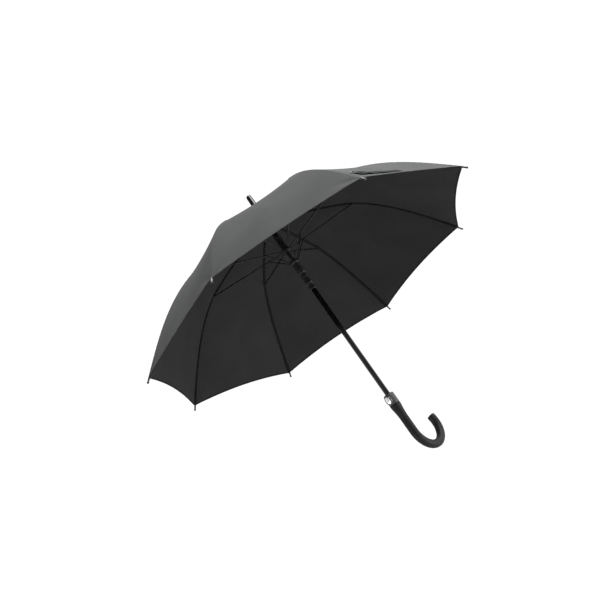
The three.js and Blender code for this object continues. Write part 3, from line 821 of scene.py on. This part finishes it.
def rosette():
    """The small round cloth cover over the crown, under the ferrule."""
    steps, sides = 12, 96
    top, bottom = [], []
    for share in np.linspace(0, 1, steps + 1):
        radius = ROSETTE_BORE + (ROSETTE_RADIUS - ROSETTE_BORE) * share
        reach = max(0.0, (radius - CLOTH_START[0]) / (CLOTH_LANDING_R - CLOTH_START[0]))
        at = reach * (CLOTH_LANDING_R - PIVOT_RADIUS) / (SPLIT[0] - PIVOT_RADIUS)
        height = float(cloth_line(at)[0][1]) + 0.75
        for layer, face in ((top, CLOTH_HALF), (bottom, -CLOTH_HALF)):
            ring = []
            for turn in np.arange(sides) * 2 * math.pi / sides:
                lobes = math.cos(RIB_COUNT * (turn - FIRST_RIB))
                edge = radius + 0.35 * lobes * share ** 2
                wave = 0.25 * (lobes - 1) * share ** 2
                ring.append((edge * math.cos(turn), edge * math.sin(turn), height + wave + face))
            layer.append(ring)
    build = Build().add(lofted(top + bottom[::-1], is_loop=True))
    made = build.object("rosette_cloth", [CLOTH, THREAD], sharp=70)
    put(made, "root", "cloth", "rosette")


rosette()


# ---- ribs and linkage ----------------------------------------------------------------------------
JOINT_REACH = (JOINT[0] - PIVOT_RADIUS) / (SPLIT[0] - PIVOT_RADIUS)


def channel(width, height, wall, is_open_up=False):
    """A pressed U section, open below unless it is open up."""
    w, h = width / 2, height / 2
    c = 0.28
    section = [(-w, -h), (-w, h - c), (-w + c, h), (w - c, h), (w, h - c), (w, -h), (w - wall, -h),
               (w - wall, h - wall - 0.1), (w - wall - 0.2, h - wall), (-w + wall + 0.2, h - wall),
               (-w + wall, h - wall - 0.1), (-w + wall, -h)]
    return [(y, -z) for y, z in section] if is_open_up else section


def rib_stations(low, high, steps, start_scale=1.0, end_scale=1.0):
    reach = np.linspace(low, high, steps + 1)
    points, normals = rib_line(reach)
    scales = np.linspace(start_scale, end_scale, steps + 1)
    return [(p[0], p[1], n, s) for p, n, s in zip(points, normals, scales)]


def rib_loop(reach, radius, turns, pitch, wire):
    """Thread wound round a rib, holding the cloth to it."""
    (x, z), normal = rib_line(np.array(reach))
    along = np.array([normal[1], 0, -normal[0]])
    up = np.array([normal[0], 0, normal[1]])
    centre = np.array([x, 0, z]) - up * 0.35
    steps = 12 * turns
    path = []
    for i in range(steps + 1):
        turn = 2 * math.pi * i / 12
        round_rib = np.array([0, radius * math.cos(turn), 0]) + up * radius * 1.05 * math.sin(turn)
        path.append(centre + along * pitch * (i / 12 - turns / 2) + round_rib)
    return tube(path, wire, 5)


def inner_ribs():
    """Channels with an eye at the crown, a cheek each side of the joint and a crimped end sleeve."""
    steel = Build()
    steel.add(swept(channel(2.5, 2.5, 0.42), rib_stations(0.035, 0.985, 22)))
    steel.add(eyed_bar((PIVOT_RADIUS, CROWN_Z), tuple(rib_line(np.array(0.034))[0]), 0.9, 1.9, -0.62, 0.62))
    x, z = JOINT
    drop = float(rib_line(np.array(JOINT_REACH))[0][1]) - z
    lug, inside, outside = 1.9, 1.3, 1.85
    turns = np.linspace(1.1 * math.pi, 1.9 * math.pi, 9)
    cheek = [(x - 3.4, z + drop - 0.6), (x - lug, z - 0.6)]
    cheek += [(x + lug * math.cos(a), z + lug * math.sin(a)) for a in turns]
    cheek += [(x + lug, z - 0.6), (x + 3.0, z + drop - 1.2)]
    steel.add(plate(cheek, -outside, -inside))
    steel.add(plate(cheek, inside, outside))
    steel.add(rivet((x, z), -outside, outside, 0.75), slot=1)
    steel.add(swept(circle(1.65, 16), rib_stations(0.955, 0.997, 4)))
    for crimp in (0.968, 0.986):
        steel.add(swept(circle(1.75, 16), rib_stations(crimp, crimp + 0.003, 1)))
    for reach in (0.33, 0.66):
        steel.add(rib_loop(reach, 1.75, 3, 0.5, 0.2), slot=2)
    # The joint patch takes the darker doubled cloth: real cloth, with painted shade in its tone.
    steel.add(joint_patch(), slot=3)
    first = steel.object("rib_steel_1", [RIB_STEEL, CAP_METAL, THREAD, DOUBLED_WITH_PAINTED_SHADE], bevel=0.08)
    copy_round(first, "rib_steel", "rib", "black_metal", "inner_rib")


def joint_patch():
    """A folded scrap of cloth round the rib at its joint, which keeps the joint off the canopy."""
    stations = []
    for share in np.linspace(-1, 1, 15):
        reach = JOINT_REACH + share * 7.5 / INNER_LENGTH
        (x, z), normal = rib_line(np.array(min(reach, 1.03)))
        stations.append((x, z, normal, (1 - share ** 6) * 0.8 + 0.25))
    side = [(1.2, -1.8), (1.9, -1.55), (1.75, -0.9), (1.9, 0.5), (4.4, 0.75), (4.6, 1.28)]
    return swept([(-y, n) for y, n in side[::-1]] + side, stations)


def copy_round(first, name, body, slot, node=None):
    """Turns a piece drawn round the XZ plane to every rib, one object each on a shared mesh."""
    copies = [first] + [link(name, first.data) for _ in range(RIB_COUNT - 1)]
    for number, made in enumerate(copies, 1):
        made.name = f"{name}_{number}"
        made.rotation_euler.z = FIRST_RIB + (number - 1) * TURN
    bpy.context.view_layer.update()
    for number, made in enumerate(copies, 1):
        put(made, f"{body}_{number}", slot, *([f"{node}_{number}"] if node else []))
    return copies


def outer_ribs():
    rod = Build()
    rod.add(swept(circle(1.2, 14), rib_stations(1.003, 2.0, 30, 1.0, 0.72)))
    (end, ), (normal, ) = rib_line(np.array([2.0]))
    along = np.array([normal[1], -normal[0]])
    cap = [(-4.5, 1.6), (-4.0, 2.1), (5.0, 2.45), (9.0, 2.4), (9.6, 2.6), (10.4, 2.95), (12.2, 3.0),
           (13.6, 2.4), (14.3, 1.5), (14.6, 0.3)]
    stations = [(*(end + along * s), normal, r) for s, r in cap]
    rod.add(swept(circle(1, 18), stations), slot=1)
    for s in np.arange(-3, 3.2, 0.62):
        x, z = end + along * s
        ring = [(x + normal[0] * up, across, z + normal[1] * up) for across, up in circle(2.4, 16)]
        rod.add(tube(ring, 0.3, 6, closed=True), slot=2)
    for reach in (1.34, 1.68):
        rod.add(rib_loop(reach, 1.75, 3, 0.5, 0.2), slot=2)
    first = rod.object("outer_rib_rod_1", [ROD, CAP_METAL, THREAD])
    copy_round(first, "outer_rib_rod", "outer_rib", "black_metal", "outer_rib")


def on_line(start, end, distance):
    run = np.subtract(end, start)
    return tuple(np.add(start, run * distance / np.linalg.norm(run)))


RING_PIVOT = (PIVOT_RADIUS, RING_Z)
LINK_PIVOT = on_line(RING_PIVOT, JOINT, LINK_REACH)


def straight(start, end, steps=1):
    run = np.subtract(end, start)
    length = np.linalg.norm(run)
    normal = (-run[1] / length, run[0] / length)
    return [(*np.add(start, run * i / steps), normal, 1.0) for i in range(steps + 1)]


def along_stretcher(distance):
    return on_line(RING_PIVOT, JOINT, distance)


def stretchers():
    """A slim channel up to the link's pivot and a wider one beyond it, with a flat eye at each end."""
    bar = Build()
    arm = math.dist(RING_PIVOT, JOINT)
    step = LINK_REACH + 5
    bar.add(swept(channel(2.0, 2.4, 0.4, is_open_up=True),
                  straight(along_stretcher(7), along_stretcher(step + 1), 4)))
    bar.add(swept(channel(2.9, 2.9, 0.42, is_open_up=True),
                  straight(along_stretcher(step), along_stretcher(arm - 7), 8)))
    bar.add(eyed_bar(RING_PIVOT, along_stretcher(9), 0.95, 1.95, -0.5, 0.5))
    bar.add(eyed_bar(along_stretcher(arm - 9), JOINT, 0.95, 1.95, -0.5, 0.5))
    cheek = along_stretcher(LINK_REACH - 4), along_stretcher(LINK_REACH + 4)
    for low, high in ((-1.0, -0.5), (0.5, 1.0)):
        bar.add(eyed_bar(*cheek, 1.15, 1.2, low, high))
    bar.add(rivet(LINK_PIVOT, -1.05, LINK_SIDE[1] + 0.05, 0.7), slot=1)
    first = bar.object("stretcher_channel_1", [RIB_STEEL, CAP_METAL], bevel=0.07)
    copy_round(first, "stretcher_channel", "stretcher", "black_metal", "stretcher")


def links():
    strip = Build()
    low, high = LINK_SIDE
    strip.add(eyed_bar((PIVOT_RADIUS, RUNNER_Z), LINK_PIVOT, 1.1, 2.0, low + 0.1, high))
    first = strip.object("link_strip_1", [RIB_STEEL], bevel=0.12)
    copy_round(first, "link_strip", "link", "black_metal", "link")


def rib_sleeves():
    """The seam's turned-back cloth, which wraps the rib and covers it when the umbrella closes."""
    outside, inside, low, high = 1.68, 1.4, -1.5, 1.62
    section = [(-outside, low), (-outside, 1.1), (-1.3, high), (1.3, high), (outside, 1.1), (outside, low),
               (inside, low), (inside, 0.95), (1.15, 1.34), (-1.15, 1.34), (-inside, 0.95), (-inside, low)]
    for name, body, rib, span, rib_length in (
        ("rib_sleeve_upper", "rib", "inner_rib", (0.09, 0.996), INNER_LENGTH),
        ("rib_sleeve_lower", "outer_rib", "outer_rib", (1.004, 1.985), OUTER_LENGTH),
    ):
        sleeve = Build().add(swept(section, rib_stations(*span, 28)))
        # The sleeves take the darker doubled cloth: real cloth, with painted shade along the rib in its tone.
        first = sleeve.object(f"{name}_1", [DOUBLED_WITH_PAINTED_SHADE], sharp=50)
        for number, made in enumerate(copy_round(first, name, body, "cloth"), 1):
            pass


inner_ribs()
outer_ribs()
rib_sleeves()
stretchers()
links()


# ---- crown, upper ring, spring and runner --------------------------------------------------------
LINK_WAY = (LINK_SIDE[0] - 0.4, LINK_SIDE[1] + 0.4)


def add_slots(cutters, radial, across, heights):
    """Adds a slot at every rib to the tool that cuts a ring."""
    for number in range(1, RIB_COUNT + 1):
        cutters.add(box(radial, across, heights), rib=number)
    return cutters


def pivot_wire(name, z, body):
    """The wire that runs through all eight eyes of a notched ring."""
    ring = [(x, y, z) for x, y in circle(PIVOT_RADIUS, 96)]
    made = Build().add(tube(ring, 0.5, 8, closed=True)).object(name, [SPRING_STEEL])
    put(made, body, "spring_steel")


def crown():
    """The notched ring, fixed to the shaft, that the ribs hang from."""
    z = CROWN_Z
    r = CROWN_RADIUS
    profile = [(FIXED_BORE, z - 7), (r - 1.6, z - 7), (r, z - 5.6), (r, z - 2.4), (r - 0.6, z - 1.9),
               (r - 0.6, z + 1.4), (r, z + 1.9), (r, z + 6), (r - 1.4, z + 7.5), (FIXED_BORE, z + 7.5)]
    body = Build().add(lathe(rounded(profile, 0.5)))
    made = body.object("crown_moulding", [BLACK_PLASTIC], bevel=0.15,
                       cutters=add_slots(Build(), (8.5, 16), (-1.65, 1.65), (z - 9, z + 3.2)))
    put(made, "root", "black_plastic", "crown")
    pivot_wire("crown_wire", z, "root")


def upper_ring():
    """A notched ring with a long sleeve above it, which has four windows round the shaft."""
    z = RING_Z
    r, sleeve = RING_RADIUS, SLEEVE_RADIUS
    profile = [(SLIDE_BORE, z - 4), (r - 0.6, z - 4), (r, z - 3.4), (r, z + 5), (r - 0.5, z + 5.5),
               (sleeve + 0.5, z + 5.5), (sleeve, z + 6.4), (sleeve, z + 12), (sleeve - 0.5, z + 12.6),
               (sleeve - 0.5, z + 44), (sleeve, z + 44.6), (sleeve, z + 49.4), (sleeve - 0.6, z + 50),
               (SLIDE_BORE, z + 50)]
    body = Build().add(lathe(rounded(profile, 0.4)))
    cutters = add_slots(Build(), (9, 15), (-1.4, 1.4), (z - 2.4, z + 7))
    add_slots(cutters, (9.3, 15), LINK_WAY, (z - 6, z + 7.2))
    for turn in np.arange(4) * math.pi / 2 + 0.3:
        points, faces = box((SHAFT_RADIUS, SLEEVE_RADIUS + 1), (-1.1, 1.1), (z + 17, z + 39))
        spin = Matrix.Rotation(turn, 3, "Z")
        cutters.add(([tuple(spin @ Vector(p)) for p in points], faces))
    made = body.object("upper_ring_moulding", [BLACK_PLASTIC], bevel=0.12, cutters=cutters)
    put(made, "upper_ring", "black_plastic", "upper_ring")
    pivot_wire("upper_ring_wire", z, "upper_ring")


def opening_spring():
    """A round wire coil with a flat turn at each end."""
    wire, turns, steps, flat_share = 0.7, 7, 24, 0.8
    bottom, top = RUNNER_Z + 4.5 + 0.5 + wire, RING_Z - 4 - 0.5 - wire
    turn = np.linspace(0, turns, turns * steps + 1)
    rise = np.clip((turn - flat_share) / (turns - 2 * flat_share), 0, 1)
    angle = 2 * math.pi * turn
    across, forward = COIL_RADIUS * np.cos(angle), COIL_RADIUS * np.sin(angle)
    path = np.stack([across, forward, bottom + (top - bottom) * rise], -1)
    made = Build().add(tube(path, wire, 10)).object("opening_spring_coil", [SPRING_STEEL], sharp=50)
    put(made, "upper_ring", "spring_steel", "opening_spring")
    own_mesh(made)


def runner():
    """From below: a beaded neck, a flange, a banded neck, the grooved body and the notched ring."""
    z = RUNNER_Z
    flange = z - 75
    r, neck, lip, body_r, groove = RING_RADIUS, NECK_RADIUS, FLANGE_RADIUS, 10.7, 10.2
    profile = [(SLIDE_BORE, z - 96), (neck - 0.4, z - 96), (neck + 0.2, z - 95), (neck + 0.2, z - 92.5),
               (neck - 0.3, z - 92), (neck - 0.3, z - 81), (neck + 0.8, z - 80.2), (neck + 0.8, z - 78.8),
               (neck, z - 78), (neck, flange - 2.4), (lip - 0.4, flange - 1.8), (lip, flange - 1.2),
               (lip, flange + 1.2), (lip - 0.4, flange + 1.8), (neck, flange + 2.4), (neck, z - 56),
               (neck + 0.4, z - 55.4), (neck + 0.4, z - 47), (neck, z - 46.4), (neck, z - 42.6),
               (body_r - 0.8, z - 42), (body_r, z - 40.5), (body_r, z - 36), (groove, z - 35.4),
               (groove, z - 34.6), (body_r, z - 34), (body_r, z - 9), (body_r + 0.4, z - 6.4),
               (r - 0.4, z - 5), (r, z - 4.5), (r, z + 3.9), (r - 0.6, z + 4.5), (SLIDE_BORE, z + 4.5)]
    body = Build().add(lathe(rounded(profile, 0.35)))
    cutters = add_slots(Build(), (8.7, 15), LINK_WAY, (z - 2.4, z + 6))
    made = body.object("runner_moulding", [BLACK_PLASTIC], bevel=0.12, cutters=cutters)
    put(made, "runner", "black_plastic", "runner")
    pivot_wire("runner_wire", z, "runner")


crown()
upper_ring()
opening_spring()
runner()


# ---- shaft and ferrule ---------------------------------------------------------------------------
def shaft():
    profile = [(0, -12), (SHAFT_RADIUS - 0.3, -12), (SHAFT_RADIUS, -11.7)]
    profile += [(SHAFT_RADIUS, z) for z in np.linspace(60, 640, 9)]
    profile += [(SHAFT_RADIUS, SHAFT_TOP_Z - 0.3), (SHAFT_RADIUS - 0.3, SHAFT_TOP_Z), (0, SHAFT_TOP_Z)]
    made = Build().add(lathe(profile, 72)).object("shaft_tube", [BLACK_METAL])
    put(made, "root", "black_metal", "shaft")


def ferrule():
    """A hollow foot with a bead over the shaft's end, then a long taper to a flat tip."""
    bottom, top, tip = 671.1, SHAFT_TOP_Z, 767
    profile = [(0, top + 0.4), (FIXED_BORE, top + 0.4), (FIXED_BORE, bottom), (10, bottom),
               (10.4, bottom + 0.4), (10.4, bottom + 2.2), (10.1, bottom + 2.8), (9.9, bottom + 3.6),
               (9.8, bottom + 5), (9.7, top + 1), (9.6, top + 2.4), (9.2, top + 4.6), (9.1, top + 7),
               (7.75, tip - 9), (7.6, tip - 6), (7.1, tip - 1.8), (6.6, tip - 0.6), (6.2, tip), (0, tip)]
    made = Build().add(lathe(rounded(profile, 0.5), 72)).object("ferrule_turned", [FERRULE_METAL])
    put(made, "root", "black_metal", "ferrule")


shaft()
ferrule()


# ---- handle --------------------------------------------------------------------------------------
def button_oval(x, margin=0.0, scale=1.0):
    """The button's outline at a depth, grown by a margin all round or scaled."""
    width, height = ((side + margin) * scale for side in BUTTON_SIZE)
    return [(x, width / 2 * a, BUTTON_Z + height / 2 * b) for a, b in circle(1, 48)]


def collar():
    """The grey collar: a raised oval rim round the button's well, over the bore for the runner."""
    r, low, high = COLLAR_RADIUS, COLLAR_BOTTOM_Z, COLLAR_TOP_Z
    profile = [(0, 20), (STEM_RADIUS, 20), (STEM_RADIUS, low), (r - 0.4, low), (r, low + 0.5),
               (r, high - 3.4), (r - 0.4, high - 1.6), (r - 1.3, high - 0.4), (r - 2.1, high), (0, high)]
    made = Build().add(lathe(rounded(profile, 0.4), 72)).object("collar_core", [GREY_PLASTIC])
    rim = [(-11.2, 5.4), (-14.2, 5.0), (-15.0, 4.2), (-15.4, 2.6)]
    boss = Build().add(lofted([button_oval(x, margin) for x, margin in rim]))
    combine(made, boss.object("collar_boss", [GREY_PLASTIC]), "UNION")
    well = Build().add(lofted([button_oval(x, 0.8) for x in (-20, -8)]))
    neck, lip = NECK_RADIUS + 0.6, FLANGE_RADIUS + 0.7
    well.add(lathe([(0, 14), (FIXED_BORE, 14), (FIXED_BORE, 25), (neck, 25), (neck, 51), (lip, 51), (lip, 80),
                    (0, 80)], 72))
    combine(made, well.object("well_cutter", [GREY_PLASTIC]), "DIFFERENCE")
    finish_edges(made, 0.2)
    made.name = "collar_moulding"
    put(made, "root", "grey_plastic", "handle_collar")


def push_button():
    """A domed oval button with a rounded rim."""
    rings = [button_oval(-12), button_oval(-13.6)]
    for share in np.arange(1, 9) / 9:
        turn = math.pi / 2 * share
        scale = 1 - 0.09 * (1 - math.cos(turn)) - 0.86 * share ** 5
        rings.append(button_oval(-13.6 - 2.9 * math.sin(turn), scale=scale))
    made = Build().add(lofted(rings)).object("push_button_cap", [BRIGHT], sharp=50)
    put(made, "push_button", "silver", "push_button")


def grip():
    """The soft sleeve: flared at the collar, straight in the hand, then the hook and its rounded end."""
    straight_part = [(41.6, 14.2), (41.0, 14.5), (38, 14.42), (34, 14.1), (30, 13.6), (26, 13), (21, 12.4),
                     (16, 11.9), (10, 11.4), (4, 11.1), (-4, 11.02), (-12, 11), (-22, 11), (-31, 11)]
    stations = [(0, z, (1, 0), radius) for z, radius in straight_part]
    steps = 64
    for i in range(steps + 1):
        turn = math.radians(HOOK_DEGREES) * i / steps
        stations.append((HOOK_RADIUS * (1 - math.cos(turn)), HOOK_START_Z - HOOK_RADIUS * math.sin(turn),
                         (math.cos(turn), math.sin(turn)), GRIP_RADIUS))
    stations.pop()
    end = stations[-1]
    out = (end[2][1], -end[2][0])
    left = HOOK_RADIUS * math.radians(HOOK_DEGREES) / steps + 2 - GRIP_ROUNDING
    for step in range(10):
        turn = math.pi / 2 * step / 9
        forward = left + GRIP_ROUNDING * math.sin(turn)
        stations.append((end[0] + out[0] * forward, end[1] + out[1] * forward, end[2],
                         GRIP_RADIUS - GRIP_ROUNDING * (1 - math.cos(turn))))
    sides, stem = 56, STEM_RADIUS + 0.4
    bore = Build().add(lathe([(0, -12.4), (FIXED_BORE, -12.4), (FIXED_BORE, 19.6), (stem, 19.6), (stem, 50),
                              (0, 50)], sides))
    sleeve = Build().add(swept(circle(1, sides), stations))
    made = sleeve.object("grip_sleeve", [RUBBER], sharp=50, cutters=bore)
    lengthwise(made)
    put(made, "root", "soft_grip", "handle_grip")


def lengthwise(made):
    """Stores where each point lies round and along the grip, so that streaks follow the bend."""
    values = []
    for vertex in made.data.vertices:
        x, y, z = vertex.co / MM
        if z > HOOK_START_Z and x < 2 * GRIP_RADIUS:
            around, along = math.atan2(y, x), -z
        else:
            turn = math.atan2(HOOK_START_Z - z, HOOK_RADIUS - x)
            turn = turn if turn > -math.pi / 2 else turn + 2 * math.pi
            out = HOOK_RADIUS - math.hypot(x - HOOK_RADIUS, z - HOOK_START_Z)
            around, along = math.atan2(y, out), -HOOK_START_Z + HOOK_RADIUS * turn
        values.append((GRIP_RADIUS * math.cos(around), GRIP_RADIUS * math.sin(around), 0.06 * along))
    layer = made.data.attributes.new("lengthwise", "FLOAT_VECTOR", "POINT")
    layer.data.foreach_set("vector", np.array(values).ravel() * MM)


collar()
push_button()
grip()


# ---- tie strap -----------------------------------------------------------------------------------
STRAP_SIZE = (21, 145)
STRAP_PANEL = f"canopy_lower_{STRAP_RIB}_left"
STUD_AT = (1.822, 0.06)  # reach and share on the canopy


def on_strap_panel(reach, share, lift):
    """Points at a height above the panel that the strap lies on."""
    reach, share = np.asarray(reach, float), np.asarray(share, float)
    surface = canopy_surface(reach, share, 1, STRAP_RIB)
    return surface + surface_normal(reach, share, 1, STRAP_RIB) * np.asarray(lift, float)[..., None]


def tie_strap():
    """A stitched tape that lies on the panel beside the hem and stands off it near the rib."""
    rows, columns = 90, 10
    half_width = STRAP_SIZE[0] / 2
    along, across = np.meshgrid(np.linspace(0, 1, rows), np.linspace(-half_width, half_width, columns),
                                indexing="ij")
    share = 0.05 + 0.4 * along
    reach = 1.895 - 0.05 * np.exp(-along / 0.12) + across / OUTER_LENGTH
    arch = 4.2 * np.exp(-((along - 0.14) / 0.13) ** 2) + 1.6 * np.exp(-((along - 0.5) / 0.16) ** 2)
    rest = 0.75 + arch + 0.25 * np.sin(9 * along + 0.15 * across)
    selvedge = 0.12 * (np.abs(np.abs(across) - half_width) < 1.3)
    layers = [on_strap_panel(reach, share, rest + sign * (0.42 + selvedge)) for sign in (1, -1)]
    points = np.concatenate([layer.reshape(-1, 3) for layer in layers])
    build = Build().add((points, sum(sheet_faces(rows, columns), [])), rib=STRAP_RIB)
    made = build.object("tie_strap_tape", [TAPE], sharp=60)
    put_on_strap_panel(made, "strap_cloth", "tie_strap")


def strap_stud():
    """The stud that the strap buttons to, on an oval foot that follows the panel beside the rib."""
    turn = np.arange(24) * 2 * math.pi / 24
    rings = []
    for size, lift in ((1.0, 1.8), (1.0, 2.8), (0.9, 3.35), (0.5, 3.55)):
        reach = STUD_AT[0] + 0.021 * size * np.sin(turn)
        share = STUD_AT[1] + 0.026 * size * np.cos(turn)
        rings.append(list(on_strap_panel(reach, share, lift)))
    build = Build().add(lofted(rings), rib=STRAP_RIB)
    place = on_strap_panel(*STUD_AT, 0)
    up = Vector(on_strap_panel(*STUD_AT, 1) - place)
    spin = Vector((0, 0, 1)).rotation_difference(up).to_matrix()
    points, faces = lathe([(0, 0), (2.2, 0), (2.2, 4.2), (3.6, 4.4), (3.8, 5.0), (3.2, 5.9), (0, 6.2)], 24)
    build.add(([place + np.array(spin @ Vector(p)) for p in points], faces), rib=STRAP_RIB)
    made = build.object("tie_strap_stud", [BLACK_PLASTIC], bevel=0.1, sharp=50)
    put_on_strap_panel(made, "black_plastic", "tie_strap_tab")


def put_on_strap_panel(made, slot, node):
    """Rides on the strap's rib, on a mesh of its own."""
    put(made, f"outer_rib_{STRAP_RIB}", slot, node)
    gather(made, STRAP_RIB, *folds[STRAP_PANEL])


tie_strap()
strap_stud()


# ---- studio --------------------------------------------------------------------------------------
WHITE_WALL = (0.752, 0.563, 0.343)  # the side of the room that is lit white
LIT_POINT = (0, 0, 0.45)  # what every lamp is aimed at, in metres
LOW_SPREAD = math.radians(110)  # narrow enough that no low lamp draws its edge on the floor


def studio():
    """A pale floor well below the hand-held umbrella, soft light from above and a bright room."""
    radius, height = 4.2, -1.35
    mesh = bpy.data.meshes.new("studio_floor")
    mesh.from_pydata([(x, y, height) for x, y in circle(radius, 128)], [], [range(128)])
    floor = link("studio_floor", mesh)
    look = Look("studio_floor", (0.5, 0.5, 0.5), 0.8)
    look.drive("Base Color", look.tint(look.noise(900, detail=1.0), (0.49, 0.49, 0.49), (0.51, 0.51, 0.51)))
    mesh.materials.append(look.material)

    world = bpy.data.worlds.new("studio")
    world.use_nodes = True
    nodes, links_between = world.node_tree.nodes, world.node_tree.links
    background = nodes["Background"]
    background.inputs["Color"].default_value = (1, 1, 1, 1)
    facing = nodes.new("ShaderNodeVectorMath")
    facing.operation = "DOT_PRODUCT"
    facing.inputs[1].default_value = WHITE_WALL
    fade = nodes.new("ShaderNodeMapRange")
    fade.interpolation_type = "SMOOTHSTEP"
    for key, value in (("From Min", -0.5), ("From Max", 0.35), ("To Min", 0.24), ("To Max", 1.06)):
        fade.inputs[key].default_value = value
    links_between.new(nodes.new("ShaderNodeTexCoord").outputs["Generated"], facing.inputs[0])
    links_between.new(facing.outputs["Value"], fade.inputs["Value"])
    links_between.new(fade.outputs["Result"], background.inputs["Strength"])
    bpy.context.scene.world = world

    for name, place, size, power, spread in (
        ("softbox_above", (0.35, -1.6, 2.5), 2.8, 400, math.pi),
        ("softbox_right", (1.3, -2.3, -0.8), 1.6, 35, LOW_SPREAD),
        ("softbox_left", (-2.3, 0.9, -0.9), 1.6, 24, LOW_SPREAD),
    ):
        lamp = bpy.data.lights.new(name, "AREA")
        lamp.size = size
        lamp.spread = spread
        lamp.energy = power
        made = link(name, lamp)
        made.location = place
        made.rotation_euler = (Vector(LIT_POINT) - Vector(place)).to_track_quat("-Z", "Y").to_euler()


def camera():
    """The photograph's view: a little below the canopy, looking up, with the umbrella leaning."""
    right = Vector((0.64846, -0.54090, -0.53566))
    up = Vector((0.11599, -0.62524, 0.77176))
    lens = bpy.data.cameras.new("camera")
    lens.sensor_width = 36
    lens.lens = 46.58
    made = link("camera", lens)
    turn = Matrix((right, up, right.cross(up))).transposed()
    made.matrix_world = Matrix.Translation((-1.606, -1.1423, -0.300)) @ turn.to_4x4()
    bpy.context.scene.camera = made


studio()
camera()
bpy.context.scene.view_settings.view_transform = "Standard"
